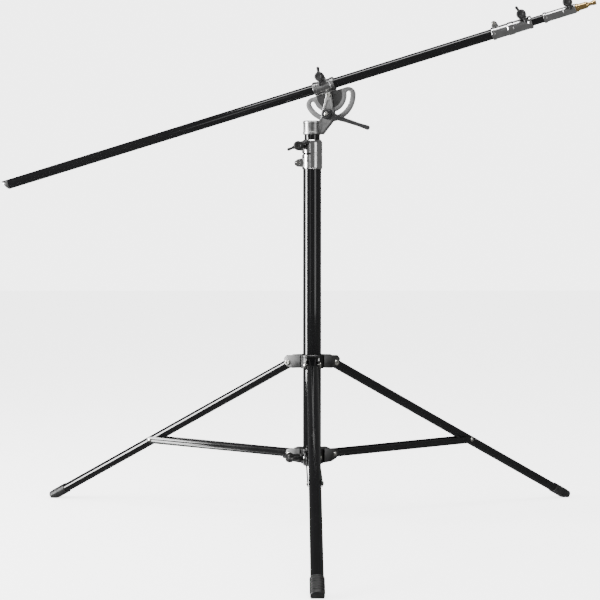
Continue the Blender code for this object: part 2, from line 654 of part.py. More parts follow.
def make_spigot():
    """Make the brass spigot that a lamp head fits on."""
    shoulder = END_FRONT + GAP
    profile = [(0.0, SPIGOT_TIP), (0.0052, SPIGOT_TIP), (0.0060, SPIGOT_TIP - 0.0008),
               (0.0060, SPIGOT_TIP - 0.0075), (0.0048, SPIGOT_TIP - 0.0100), (0.0048, SPIGOT_TIP - 0.0180),
               (SPIGOT_R, SPIGOT_TIP - 0.0240), (SPIGOT_R, shoulder + 0.0065), (0.0098, shoulder + 0.0050),
               (0.0098, shoulder), (SPIGOT_R, shoulder), (SPIGOT_R, END_FRONT - 0.052),
               (SPIGOT_R - 0.001, END_FRONT - 0.053), (0.0, END_FRONT - 0.053)]
    spigot = turned("spigot", profile, boom, rotation=ALONG_X)
    finish(spigot, (0.72, 0.50, 0.20), 0.24, 1.0)


# ---------------------------------------------------------------- tripod


def fork_ears(name, outlines, web, ear_in, ear_out):
    """Return a casting's three radial forks as helper solids: (bodies, slots)."""
    bodies, slots = [], []
    for leg, azimuth in zip(LEG_NAMES, LEG_AZIMUTHS):
        turn = (0.0, 0.0, azimuth)
        radial = empty(f"{name}_{leg}_frame", stand, rotation=turn)
        bodies.append(plate(f"{name}_{leg}", outlines, -ear_out, ear_out, radial, rotation=TO_FRONT))
        slots.append(block(f"{name}_{leg}_slot", (web, -ear_in, 0.0), (0.20, ear_in, 0.60), radial))
    return bodies, slots


def make_leg_collar():
    """Make the fixed collar that the legs hinge on."""
    bore = COLUMN_R + GAP
    profile = [(0.0, LEG_COLLAR_TOP), (0.0278, LEG_COLLAR_TOP), (0.0290, LEG_COLLAR_TOP - 0.0015),
               (0.0290, LEG_COLLAR_BOTTOM), (0.0, LEG_COLLAR_BOTTOM)]
    collar = turned("leg_collar", profile, stand)
    ear = [(0.0240, LEG_COLLAR_BOTTOM + 0.0006), (0.0460, 0.3890), (0.0600, 0.3905), (0.0685, 0.4000),
           (0.0705, 0.4120), (0.0640, 0.4200), (0.0240, LEG_COLLAR_TOP - 0.0012)]
    pivot_hole = hole_outline((LEG_PIVOT_R, LEG_PIVOT_Z), STUD_R + GAP)
    bodies, slots = fork_ears("leg_ear", [ear, pivot_hole], 0.0405, LEG_EAR_IN, LEG_EAR_OUT)
    join(collar, *bodies)
    cut(collar, *slots, drill("leg_collar_bore", bore, 0.35, 0.45, stand))
    for leg, azimuth in zip(LEG_NAMES, LEG_AZIMUTHS):
        radial = empty(f"leg_collar_{leg}_frame", stand, rotation=(0.0, 0.0, azimuth))
        bolt = turned(f"leg_{leg}_pivot_bolt", bolt_profile(LEG_EAR_OUT + GAP, STUD_R, 0.0070, 0.0034),
                      radial, (LEG_PIVOT_R, 0, LEG_PIVOT_Z), TO_FRONT, sides=SMALL)
        finish(bolt, (0.62, 0.62, 0.60), 0.26, 1.0)
    finish(collar, (0.20, 0.20, 0.20), 0.34, 1.0)


def bolt_profile(half_grip, shank_r, head_r, head_h):
    """Return a through bolt's profile with a domed head at each end."""
    top = half_grip + head_h
    return [(0.0, top), (head_r * 0.75, top - 0.0006), (head_r, half_grip + head_h * 0.4),
            (head_r, half_grip), (shank_r, half_grip), (shank_r, -half_grip), (head_r, -half_grip),
            (head_r, -half_grip - head_h * 0.4), (head_r * 0.75, 0.0006 - top), (0.0, -top)]


def make_leg(leg, azimuth):
    """Make one leg: an oval tube and its foot."""
    radial = empty(f"leg_{leg}_frame", stand, rotation=(0.0, 0.0, azimuth))
    pivot = empty(f"leg_{leg}_pivot", radial, (LEG_PIVOT_R, 0.0, LEG_PIVOT_Z), (0.0, LEG_SLOPE, 0.0))
    outside = stadium(LEG_HALF_WIDTH, LEG_HALF_HEIGHT)
    inside = stadium(LEG_HALF_WIDTH - LEG_WALL, LEG_HALF_HEIGHT - LEG_WALL)
    leg_tube = plate(f"leg_{leg}_tube", [outside, inside], -LEG_HEEL, LEG_LENGTH, pivot, rotation=ALONG_X)
    cut(leg_tube, drill(f"leg_{leg}_hole", STUD_R + GAP, -0.03, 0.03, pivot, rotation=TO_FRONT,
                           sides=SMALL))
    finish(leg_tube, (0.010, 0.010, 0.011), 0.16, 0.0)

    boot = plate(f"leg_{leg}_foot", [stadium(FOOT_HALF_WIDTH, FOOT_HALF_HEIGHT)], FOOT_START, FOOT_END,
                 pivot, rotation=ALONG_X)
    socket = plate(f"leg_{leg}_foot_socket",
                   [stadium(LEG_HALF_WIDTH + GAP, LEG_HALF_HEIGHT + GAP)],
                   FOOT_START - 0.01, LEG_LENGTH + GAP, pivot, rotation=ALONG_X)
    floor = block(f"leg_{leg}_floor", (0.5, -0.1, -0.2), (1.2, 0.1, 0.0), radial)
    cut(boot, socket, floor)
    finish(boot, (0.013, 0.013, 0.013), 0.60, 0.0)


def rivet_profile(seat):
    """Return a domed rivet's profile: its head above the seat and its shank down to the brace."""
    shank_end = BRACE_IN + 0.0002
    return [(0.0, seat + 0.0028), (0.0036, seat + 0.0024), (0.0052, seat + 0.0010), (0.0052, seat),
            (BOLT_R, seat), (BOLT_R, shank_end), (0.0, shank_end)]


def bar_span(facing):
    """Return the low and high face of a brace bar that lies on one side of its leg."""
    return (BRACE_IN, BRACE_OUT) if facing == TO_FRONT else (-BRACE_OUT, -BRACE_IN)


def make_brace_collar():
    """Make the sliding collar that the braces hinge on, with its knob and pins."""
    bore = COLUMN_R + GAP
    profile = [(0.0, BRACE_COLLAR_TOP), (0.0278, BRACE_COLLAR_TOP), (0.0290, BRACE_COLLAR_TOP - 0.0015),
               (0.0290, BRACE_COLLAR_BOTTOM), (0.0, BRACE_COLLAR_BOTTOM)]
    collar = turned("brace_collar", profile, stand)
    ear = [(0.0240, BRACE_COLLAR_BOTTOM + 0.0006), (0.0440, 0.1565), (0.0600, 0.1640), (0.0645, 0.1740),
           (0.0620, 0.1850), (0.0500, 0.1895), (0.0240, BRACE_COLLAR_TOP - 0.0012)]
    pivot_hole = hole_outline((BRACE_PIVOT_R, BRACE_PIVOT_Z), BOLT_R + GAP)
    bodies, slots = fork_ears("brace_ear", [ear, pivot_hole], 0.0420, BRACE_EAR_IN, BRACE_EAR_OUT)
    knob_turn = empty("collar_knob_frame", stand, (0, 0, BRACE_KNOB_Z), (0.0, 0.0, BRACE_KNOB_AZIMUTH))
    boss = cylinder("brace_collar_boss", 0.0090, 0.0235, 0.0370, knob_turn, rotation=ALONG_X, sides=16)
    join(collar, boss, *bodies)
    cut(collar, *slots, drill("brace_collar_bore", bore, 0.14, 0.20, stand),
        drill("brace_collar_knob_hole", BOLT_R + GAP, 0.0, 0.05, knob_turn, rotation=ALONG_X,
                 sides=SMALL))
    for leg, azimuth in zip(LEG_NAMES, LEG_AZIMUTHS):
        radial = empty(f"brace_pins_{leg}_frame", stand, rotation=(0.0, 0.0, azimuth))
        for side, facing in SIDES:
            pin = turned(f"brace_{leg}_pin_{side}", rivet_profile(BRACE_EAR_OUT + GAP), radial,
                         (BRACE_PIVOT_R, 0, BRACE_PIVOT_Z), facing, sides=SMALL)
            finish(pin, (0.62, 0.62, 0.60), 0.26, 1.0)
    finish(collar, (0.22, 0.22, 0.22), 0.32, 1.0)
    t_knob("collar_knob", knob_turn, (0.0370 + GAP, 0, 0), (0.0, math.pi / 2, 0.0), 0.0250, 0.0140,
           stem=0.0160)


def make_brace(leg, azimuth):
    """Make one brace: two flat bars that pass either side of the leg, each with its outer rivet."""
    reach = LEG_PIVOT_R + BRACE_JOINT_ON_LEG * math.cos(LEG_SLOPE) - BRACE_PIVOT_R
    rise = LEG_PIVOT_Z - BRACE_JOINT_ON_LEG * math.sin(LEG_SLOPE) - BRACE_PIVOT_Z
    length = math.hypot(reach, rise)
    radial = empty(f"brace_{leg}_frame", stand, rotation=(0.0, 0.0, azimuth))
    pivot = empty(f"brace_{leg}_pivot", radial, (BRACE_PIVOT_R, 0.0, BRACE_PIVOT_Z),
                  (0.0, -math.atan2(rise, reach), 0.0))
    outer_end = arc((length, 0.0), BRACE_HALF_HEIGHT, math.radians(-90), math.radians(90), 7)
    inner_end = arc((0.0, 0.0), BRACE_HALF_HEIGHT, math.radians(90), math.radians(270), 7)
    pin_hole = hole_outline((0.0, 0.0), BOLT_R + GAP)
    for side, facing in SIDES:
        outline = [outer_end + inner_end, pin_hole]
        bar = plate(f"brace_{leg}_bar_{side}", outline, *bar_span(facing), pivot, rotation=TO_FRONT)
        join(bar, turned(f"brace_{leg}_rivet_{side}", rivet_profile(BRACE_OUT), pivot, (length, 0, 0),
                         facing, sides=SMALL))
        finish(bar, (0.012, 0.012, 0.013), 0.20, 0.0)


make_column()
make_column_collar()
make_riser()
make_head()
make_lever()
make_tilt_disc()
make_boom_clamp()
make_boom_tube()
make_joint_collar()
make_boom_inner()
make_spigot()
make_leg_collar()
make_brace_collar()
for leg_name, leg_azimuth in zip(LEG_NAMES, LEG_AZIMUTHS):
    make_leg(leg_name, leg_azimuth)
    make_brace(leg_name, leg_azimuth)
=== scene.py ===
"""Looks of the boom light stand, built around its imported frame.

Each sub-assembly is a class with its sizes and the methods that make and dress its pieces.
Metres, +Z up. Pieces are modelled in a sub-assembly's own frame and baked into the row frame.
"""
import json
import logging
import math
from dataclasses import dataclass, field
from enum import Enum
from typing import Iterable, Optional, Sequence

import bmesh
import bpy
from mathutils import Matrix, Vector


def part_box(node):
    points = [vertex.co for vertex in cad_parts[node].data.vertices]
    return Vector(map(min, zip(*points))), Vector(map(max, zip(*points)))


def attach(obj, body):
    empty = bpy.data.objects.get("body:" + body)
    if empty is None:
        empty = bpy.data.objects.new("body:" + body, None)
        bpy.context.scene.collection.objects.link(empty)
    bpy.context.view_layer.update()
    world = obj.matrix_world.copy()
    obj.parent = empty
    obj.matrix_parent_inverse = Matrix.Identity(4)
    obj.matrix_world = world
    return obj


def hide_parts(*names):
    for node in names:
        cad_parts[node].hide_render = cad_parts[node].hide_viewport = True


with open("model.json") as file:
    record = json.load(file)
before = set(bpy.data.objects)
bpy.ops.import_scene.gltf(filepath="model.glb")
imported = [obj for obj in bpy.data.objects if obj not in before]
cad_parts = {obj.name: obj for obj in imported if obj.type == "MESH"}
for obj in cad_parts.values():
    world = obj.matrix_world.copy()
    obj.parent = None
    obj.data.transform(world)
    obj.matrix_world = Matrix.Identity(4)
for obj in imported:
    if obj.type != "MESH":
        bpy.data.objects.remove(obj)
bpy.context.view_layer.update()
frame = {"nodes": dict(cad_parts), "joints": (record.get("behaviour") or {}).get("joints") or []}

LOG = logging.getLogger("boom_stand")
Point = tuple[float, float]
Colour = tuple[float, float, float]

GAP = 0.0003
CORNER_STEPS = 6                       # steps round a rounded corner
FACE_FRONT = Matrix.Rotation(math.pi / 2, 4, "X")
FACE_BACK = Matrix.Rotation(-math.pi / 2, 4, "X")
ALONG_X = Matrix.Rotation(math.pi / 2, 4, "Y")


def shift(x: float, y: float, z: float) -> Matrix:
    """Return a translation matrix."""
    return Matrix.Translation((x, y, z))


# ------------------------------------------------------------------ outlines


def arc(centre: Point, radius: float, start: float, end: float, count: int) -> list[Point]:
    """Return points on an arc, ends included.

    Args:
        centre: middle of the arc.
        radius: its radius in metres.
        start: first angle in degrees.
        end: last angle in degrees.
        count: number of points.

    Returns:
        The points in order.
    """
    first, step = math.radians(start), math.radians(end - start) / (count - 1)
    return [(centre[0] + radius * math.cos(first + step * k), centre[1] + radius * math.sin(first + step * k))
            for k in range(count)]


def rounded(corners: Sequence[tuple[float, float, float]], closed: bool = True,
            steps: int = CORNER_STEPS) -> list[Point]:
    """Round the corners of an outline.

    Args:
        corners: (x, y, radius) of each corner; a radius of 0 keeps it sharp.
        closed: whether the last corner joins the first.
        steps: points on each rounded corner.

    Returns:
        The outline's points.
    """
    points: list[Point] = []
    total = len(corners)
    for index, (x, y, radius) in enumerate(corners):
        here = Vector((x, y))
        if radius <= 0 or (not closed and index in (0, total - 1)):
            points.append((x, y))
            continue
        before = Vector(corners[index - 1][:2]) - here
        after = Vector(corners[(index + 1) % total][:2]) - here
        half = before.angle(after) / 2
        reach = min(radius / math.tan(half), before.length * 0.48, after.length * 0.48)
        radius = reach * math.tan(half)
        a, b = before.normalized(), after.normalized()
        middle = here + (a + b).normalized() * (radius / math.sin(half))
        first, last = here + a * reach - middle, here + b * reach - middle
        turn = first.angle_signed(last)
        for k in range(steps + 1):
            spoke = first.copy()
            spoke.rotate(Matrix.Rotation(-turn * k / steps, 2))
            points.append(tuple(middle + spoke))
    return points


def round_hole(centre: Point, radius: float, count: int = 32) -> list[Point]:
    """Return a round opening for a slab's outline."""
    return arc(centre, radius, 0.0, 360.0 - 360.0 / count, count)


# ------------------------------------------------------------------ mesh bench


class Solid:
    """A closed solid on the bench, which can be joined, cut and softened before it is baked."""

    def __init__(self, mesh: bpy.types.Mesh, matrix: Matrix = Matrix.Identity(4)) -> None:
        """Put a mesh on the bench.

        Args:
            mesh: the closed mesh.
            matrix: its place in the sub-assembly's frame.
        """
        self.shape = bpy.data.objects.new("bench_solid", mesh)
        self.shape.matrix_world = matrix
        bpy.context.scene.collection.objects.link(self.shape)
        self.used: list["Solid"] = []

    @classmethod
    def turned(cls, profile: Sequence[Point], matrix: Matrix = Matrix.Identity(4),
               sides: int = 96) -> "Solid":
        """Turn a profile about local Z.

        Args:
            profile: (radius, height) points; it closes on itself unless its ends lie on the axis.
            matrix: place of the solid.
            sides: number of facets round the axis.

        Returns:
            The turned solid.
        """
        bm = bmesh.new()
        rings = []
        for radius, height in profile:
            if radius < 1e-7:
                rings.append([bm.verts.new((0.0, 0.0, height))])
                continue
            turns = [2 * math.pi * k / sides for k in range(sides)]
            rings.append([bm.verts.new((radius * math.cos(t), radius * math.sin(t), height)) for t in turns])
        pairs = list(zip(rings, rings[1:]))
        if len(rings[0]) > 1 and len(rings[-1]) > 1:
            pairs.append((rings[-1], rings[0]))
        for above, below in pairs:
            for k in range(sides):
                corners = [above[k % len(above)], below[k % len(below)], below[(k + 1) % len(below)],
                           above[(k + 1) % len(above)]]
                unique = list(dict.fromkeys(corners))
                if len(unique) > 2:
                    bm.faces.new(unique)
        return cls(cls._closed(bm), matrix)

    @classmethod
    def slab(cls, outlines: Sequence[Sequence[Point]], low: float, high: float,
             matrix: Matrix = Matrix.Identity(4)) -> "Solid":
        """Extrude flat outlines along local Z.

        Args:
            outlines: the outer outline, then any openings.
            low: height of the lower face.
            high: height of the upper face.
            matrix: place of the solid.

        Returns:
            The slab.
        """
        curve = bpy.data.curves.new("bench_outline", "CURVE")
        curve.dimensions = "2D"
        curve.fill_mode = "BOTH"
        curve.extrude = (high - low) / 2
        for outline in outlines:
            spline = curve.splines.new("POLY")
            spline.points.add(len(outline) - 1)
            for point, (x, y) in zip(spline.points, outline):
                point.co = (x, y, 0.0, 1.0)
            spline.use_cyclic_u = True
        holder = bpy.data.objects.new("bench_curve", curve)
        bpy.context.scene.collection.objects.link(holder)
        mesh = evaluated_mesh(holder)
        bpy.data.objects.remove(holder)
        bm = bmesh.new()
        bm.from_mesh(mesh)
        bmesh.ops.remove_doubles(bm, verts=bm.verts, dist=1e-6)
        bmesh.ops.translate(bm, verts=bm.verts, vec=(0.0, 0.0, (low + high) / 2))
        bmesh.ops.dissolve_limit(bm, angle_limit=0.001, verts=bm.verts, edges=bm.edges)
        return cls(cls._closed(bm), matrix)

    @classmethod
    def box(cls, low: Sequence[float], high: Sequence[float],
            matrix: Matrix = Matrix.Identity(4)) -> "Solid":
        """Return a box between two corners."""
        outline = [(low[0], low[1]), (high[0], low[1]), (high[0], high[1]), (low[0], high[1])]
        return cls.slab([outline], low[2], high[2], matrix)

    @classmethod
    def drill(cls, radius: float, low: float, high: float, matrix: Matrix = Matrix.Identity(4),
              sides: int = 96) -> "Solid":
        """Return a cylinder to cut a round hole with, its facets off the frame's planes."""
        turned_off = matrix @ Matrix.Rotation(0.013, 4, "Z")
        return cls.turned([(0.0, high), (radius, high), (radius, low), (0.0, low)], turned_off, sides)

    @staticmethod
    def _closed(bm: bmesh.types.BMesh) -> bpy.types.Mesh:
        """Turn the faces outwards and return the mesh."""
        bmesh.ops.recalc_face_normals(bm, faces=bm.faces)
        mesh = bpy.data.meshes.new("bench_mesh")
        bm.to_mesh(mesh)
        bm.free()
        return mesh

    def _boolean(self, others: Iterable["Solid"], operation: str) -> "Solid":
        """Add one Boolean for each tool; every tool is a closed solid."""
        for other in others:
            modifier = self.shape.modifiers.new(operation, "BOOLEAN")
            modifier.object = other.shape
            modifier.operation = operation
            modifier.solver = "MANIFOLD"
            self.used.append(other)
        return self

    def joined(self, *others: "Solid") -> "Solid":
        """Unite other solids with this one."""
        return self._boolean(others, "UNION")

    def less(self, *others: "Solid") -> "Solid":
        """Cut other solids from this one."""
        return self._boolean(others, "DIFFERENCE")

    def softened(self, width: float, segments: int = 2, angle: float = 38.0) -> "Solid":
        """Round the edges that are sharper than the angle in degrees."""
        bevel = self.shape.modifiers.new("soften", "BEVEL")
        bevel.width = width
        bevel.segments = segments
        bevel.limit_method = "ANGLE"
        bevel.angle_limit = math.radians(angle)
        bevel.use_clamp_overlap = True
        return self

    def baked(self, place: Matrix, smooth: float = 32.0) -> bpy.types.Mesh:
        """Apply everything and return the mesh in the row frame.

        Args:
            place: the sub-assembly's frame.
            smooth: faces that meet at less than this angle are shaded smooth.

        Returns:
            The finished mesh.
        """
        mesh = evaluated_mesh(self.shape)
        mesh.transform(place @ self.shape.matrix_world)
        mesh.shade_smooth()
        mesh.set_sharp_from_angle(angle=math.radians(smooth))
        self.discard()
        return mesh

    def discard(self) -> None:
        """Take this solid and its tools off the bench."""
        for tool in self.used:
            tool.discard()
        self.used = []
        bpy.data.objects.remove(self.shape)


def evaluated_mesh(obj: bpy.types.Object) -> bpy.types.Mesh:
    """Return a plain mesh of an object with its modifiers applied."""
    bpy.context.view_layer.update()
    graph = bpy.context.evaluated_depsgraph_get()
    return bpy.data.meshes.new_from_object(obj.evaluated_get(graph), depsgraph=graph)


def merged(meshes: Sequence[bpy.types.Mesh]) -> bpy.types.Mesh:
    """Return one mesh that holds several separate ones."""
    bm = bmesh.new()
    for mesh in meshes:
        bm.from_mesh(mesh)
    result = bpy.data.meshes.new("merged")
    bm.to_mesh(result)
    bm.free()
    result.shade_smooth()
    result.set_sharp_from_angle(angle=math.radians(32))
    return result


# ------------------------------------------------------------------ Geometry Nodes


class Recipe:
    """A Geometry Nodes tree with named inputs, which bakes to a plain mesh."""

    def __init__(self, name: str) -> None:
        """Start an empty tree with a geometry output."""
        self.tree = bpy.data.node_groups.new(name, "GeometryNodeTree")
        self.tree.interface.new_socket("Geometry", in_out="OUTPUT", socket_type="NodeSocketGeometry")
        self.start = self.tree.nodes.new("NodeGroupInput")
        self.end = self.tree.nodes.new("NodeGroupOutput")
        self.identifiers: dict[str, str] = {}

    def needs(self, name: str, kind: str) -> None:
        """Add a named input of a socket kind such as Float, Int, Object, Vector or Material."""
        socket = self.tree.interface.new_socket(name, in_out="INPUT", socket_type="NodeSocket" + kind)
        self.identifiers[name] = socket.identifier

    def given(self, name: str) -> bpy.types.NodeSocket:
        """Return the group input's socket of that name."""
        return self.start.outputs[name]

    def node(self, kind: str, links: Optional[dict] = None, **settings) -> bpy.types.Node:
        """Add a node.

        Args:
            kind: the node's type name after its prefix, or its whole type name.
            links: input name or index to a source socket or a plain value.
            settings: the node's own properties.

        Returns:
            The node.
        """
        full = kind if kind.startswith(("Shader", "Function")) else "GeometryNode" + kind
        node = self.tree.nodes.new(full)
        for key, value in settings.items():
            setattr(node, key, value)
        for key, value in (links or {}).items():
            if isinstance(value, bpy.types.NodeSocket):
                self.tree.links.new(value, node.inputs[key])
            else:
                node.inputs[key].default_value = value
        return node

    def close(self, geometry: bpy.types.NodeSocket) -> None:
        """End the tree in Realize Instances and Set Material."""
        real = self.node("RealizeInstances", {"Geometry": geometry})
        dressed = self.node("SetMaterial", {"Geometry": real.outputs[0], "Material": self.given("Finish")})
        self.tree.links.new(dressed.outputs[0], self.end.inputs[0])

    def bake(self, **values) -> bpy.types.Mesh:
        """Run the tree once.

        Args:
            values: input names, with underscores for spaces, to their values.

        Returns:
            The plain mesh that it makes.
        """
        holder = bpy.data.objects.new("recipe_holder", bpy.data.meshes.new("recipe_mesh"))
        bpy.context.scene.collection.objects.link(holder)
        modifier = holder.modifiers.new("recipe", "NODES")
        modifier.node_group = self.tree
        for name, value in values.items():
            modifier[self.identifiers[name.replace("_", " ")]] = value
        mesh = evaluated_mesh(holder)
        holder.modifiers.remove(modifier)
        bpy.data.objects.remove(holder)
        return mesh


class PolarCopies(Recipe):
    """Copies of an item, turned about local Z by a steady step."""

    def __init__(self) -> None:
        """Build the tree."""
        super().__init__("polar_copies")
        for name, kind in (("Item", "Object"), ("Count", "Int"), ("Start", "Float"), ("Step", "Float"),
                           ("Finish", "Material")):
            self.needs(name, kind)
        points = self.node("Points", {"Count": self.given("Count")})
        index = self.node("InputIndex")
        turn = self.node("ShaderNodeMath", {0: index.outputs[0], 1: self.given("Step"),
                                            2: self.given("Start")}, operation="MULTIPLY_ADD")
        spin = self.node("ShaderNodeCombineXYZ", {"Z": turn.outputs[0]})
        item = self.node("ObjectInfo", {"Object": self.given("Item")})
        copies = self.node("InstanceOnPoints", {"Points": points.outputs[0],
                                                "Instance": item.outputs["Geometry"],
                                                "Rotation": spin.outputs[0]})
        self.close(copies.outputs[0])


class RowCopies(Recipe):
    """Copies of an item along a straight row."""

    def __init__(self) -> None:
        """Build the tree."""
        super().__init__("row_copies")
        for name, kind in (("Item", "Object"), ("Count", "Int"), ("Offset", "Vector"),
                           ("Finish", "Material")):
            self.needs(name, kind)
        row = self.node("MeshLine", {"Count": self.given("Count"), "Offset": self.given("Offset")})
        item = self.node("ObjectInfo", {"Object": self.given("Item")})
        copies = self.node("InstanceOnPoints", {"Points": row.outputs[0],
                                                "Instance": item.outputs["Geometry"]})
        self.close(copies.outputs[0])


class OvalSweep(Recipe):
    """The open skin of a straight oval tube along local X."""

    def __init__(self) -> None:
        """Build the tree."""
        super().__init__("oval_sweep")
        for name, kind in (("Start", "Float"), ("End", "Float"), ("Width", "Float"), ("Height", "Float"),
                           ("Corner", "Float"), ("Finish", "Material")):
            self.needs(name, kind)
        section = self.node("CurvePrimitiveQuadrilateral",
                            {"Width": self.given("Width"), "Height": self.given("Height")})
        oval = self.node("FilletCurve", {"Curve": section.outputs[0], "Radius": self.given("Corner"),
                                         "Count": 14}, mode="POLY")
        first = self.node("ShaderNodeCombineXYZ", {"X": self.given("Start")})
        last = self.node("ShaderNodeCombineXYZ", {"X": self.given("End")})
        line = self.node("CurvePrimitiveLine", {"Start": first.outputs[0], "End": last.outputs[0]})
        length = self.node("ResampleCurve", {"Curve": line.outputs[0], "Count": 24})
        skin = self.node("CurveToMesh", {"Curve": length.outputs[0], "Profile Curve": oval.outputs[0]})
        self.close(skin.outputs[0])


# ------------------------------------------------------------------ finishes


class Slot(Enum):
    """The record's material slots."""

    TUBE = "black_tube"
    BRACE = "black_brace"
    BRIGHT = "bright_casting"
    GREY = "grey_casting"
    TRIPOD = "tripod_casting"
    DISC = "satin_disc"
    PLASTIC = "knob_plastic"
    STEEL = "plated_steel"
    BRASS = "brass_spigot"
    RUBBER = "rubber_foot"
    PLUG = "end_plug"
    GUIDE = "guide_plastic"


class Surface:
    """A Principled material with procedural detail on Object coordinates."""

    def __init__(self, name: str, colour: Colour, roughness: float, metallic: float) -> None:
        """Start a material.

        Args:
            name: its name.
            colour: base colour.
            roughness: base roughness.
            metallic: 0 for paint and plastic, 1 for bare metal.
        """
        self.material = bpy.data.materials.new(name)
        self.material.use_nodes = True
        self.nodes = self.material.node_tree.nodes
        self.links = self.material.node_tree.links
        self.shader = self.nodes["Principled BSDF"]
        self.shader.inputs["Base Color"].default_value = (*colour, 1.0)
        self.shader.inputs["Roughness"].default_value = roughness
        self.shader.inputs["Metallic"].default_value = metallic
        self.colour = colour

    def place(self, scale: Sequence[float] = (1.0, 1.0, 1.0), origin: Sequence[float] = (0.0, 0.0, 0.0),
              turn: Sequence[float] = (0.0, 0.0, 0.0)) -> bpy.types.NodeSocket:
        """Return Object coordinates through a Mapping node."""
        coordinates = self.nodes.new("ShaderNodeTexCoord")
        mapping = self.nodes.new("ShaderNodeMapping")
        mapping.vector_type = "TEXTURE"
        mapping.inputs["Location"].default_value = origin
        mapping.inputs["Rotation"].default_value = turn
        mapping.inputs["Scale"].default_value = [1.0 / value for value in scale]
        self.links.new(coordinates.outputs["Object"], mapping.inputs["Vector"])
        return mapping.outputs["Vector"]

    def noise(self, vector: bpy.types.NodeSocket, scale: float, detail: float = 3.0,
              roughness: float = 0.55) -> bpy.types.NodeSocket:
        """Return a noise factor."""
        node = self.nodes.new("ShaderNodeTexNoise")
        node.inputs["Scale"].default_value = scale
        node.inputs["Detail"].default_value = detail
        node.inputs["Roughness"].default_value = roughness
        self.links.new(vector, node.inputs["Vector"])
        return node.outputs["Fac"]

    def span(self, value: bpy.types.NodeSocket, low: float, high: float, out_low: float,
             out_high: float) -> bpy.types.NodeSocket:
        """Map a range of values to another, clamped."""
        node = self.nodes.new("ShaderNodeMapRange")
        for key, number in (("From Min", low), ("From Max", high), ("To Min", out_low), ("To Max", out_high)):
            node.inputs[key].default_value = number
        self.links.new(value, node.inputs["Value"])
        return node.outputs["Result"]

    def maths(self, operation: str, first: bpy.types.NodeSocket, second) -> bpy.types.NodeSocket:
        """Return the result of a Math node on a socket and a socket or number."""
        node = self.nodes.new("ShaderNodeMath")
        node.operation = operation
        self.links.new(first, node.inputs[0])
        if isinstance(second, bpy.types.NodeSocket):
            self.links.new(second, node.inputs[1])
        else:
            node.inputs[1].default_value = second
        return node.outputs[0]

    def blend(self, factor: bpy.types.NodeSocket, first, second) -> bpy.types.NodeSocket:
        """Mix two colours, each a colour or a socket, by a factor."""
        node = self.nodes.new("ShaderNodeMix")
        node.data_type = "RGBA"
        self.links.new(factor, node.inputs[0])
        for index, colour in ((6, first), (7, second)):
            if isinstance(colour, bpy.types.NodeSocket):
                self.links.new(colour, node.inputs[index])
            else:
                node.inputs[index].default_value = (*colour, 1.0)
        return node.outputs[2]

    def edges(self, low: float = 0.52, high: float = 0.60) -> bpy.types.NodeSocket:
        """Return a factor that is 1 on outer edges."""
        geometry = self.nodes.new("ShaderNodeNewGeometry")
        return self.span(geometry.outputs["Pointiness"], low, high, 0.0, 1.0)

    def tint(self, colour: bpy.types.NodeSocket) -> None:
        """Drive the base colour."""
        self.links.new(colour, self.shader.inputs["Base Color"])

    def polish(self, roughness: bpy.types.NodeSocket) -> None:
        """Drive the roughness."""
        self.links.new(roughness, self.shader.inputs["Roughness"])

    def relief(self, *layers: tuple[bpy.types.NodeSocket, float, float]) -> None:
        """Drive the normal by bumps.

        Args:
            layers: (height, strength, distance in metres) of each bump, coarse first.
        """
        normal = None
        for height, strength, distance in layers:
            bump = self.nodes.new("ShaderNodeBump")
            bump.inputs["Strength"].default_value = strength
            bump.inputs["Distance"].default_value = distance
            self.links.new(height, bump.inputs["Height"])
            if normal is not None:
                self.links.new(normal, bump.inputs["Normal"])
            normal = bump.outputs["Normal"]
        self.links.new(normal, self.shader.inputs["Normal"])


@dataclass(frozen=True)
class BlackCoat:
    """Gloss black coating on tubes and flat bars, with a light orange peel and faint dust."""

    name: str
    colour: Colour = (0.0022, 0.0022, 0.0024)
    gloss: float = 0.10

    def material(self) -> bpy.types.Material:
        """Build the material."""
        surface = Surface(self.name, self.colour, self.gloss, 0.0)
        surface.shader.inputs["IOR"].default_value = 1.52
        fine = surface.place()
        cloud = surface.noise(fine, 14.0, 4.0)
        dust = surface.span(cloud, 0.42, 0.72, 0.0, 0.4)
        surface.tint(surface.blend(dust, self.colour, tuple(value * 1.6 for value in self.colour)))
        surface.polish(surface.span(cloud, 0.35, 0.75, self.gloss * 0.85, self.gloss * 1.25))
        surface.relief((surface.noise(fine, 70.0, 1.0), 0.04, 0.00010))
        return surface.material


@dataclass(frozen=True)
class BrightCasting:
    """Polished and plated casting: slightly wavy, with a fine haze in its hollows."""

    name: str
    colour: Colour = (0.66, 0.66, 0.66)
    gloss: float = 0.15

    def material(self) -> bpy.types.Material:
        """Build the material."""
        surface = Surface(self.name, self.colour, self.gloss, 1.0)
        fine = surface.place()
        cloud = surface.noise(fine, 55.0, 5.0)
        haze = surface.span(cloud, 0.38, 0.70, 0.0, 1.0)
        surface.tint(surface.blend(haze, self.colour, tuple(value * 0.74 for value in self.colour)))
        surface.polish(surface.span(cloud, 0.35, 0.75, self.gloss * 0.7, self.gloss * 1.9))
        surface.relief((surface.noise(fine, 90.0, 2.0), 0.25, 0.0004),
                       (surface.noise(fine, 1500.0, 3.0), 0.10, 0.00006))
        return surface.material


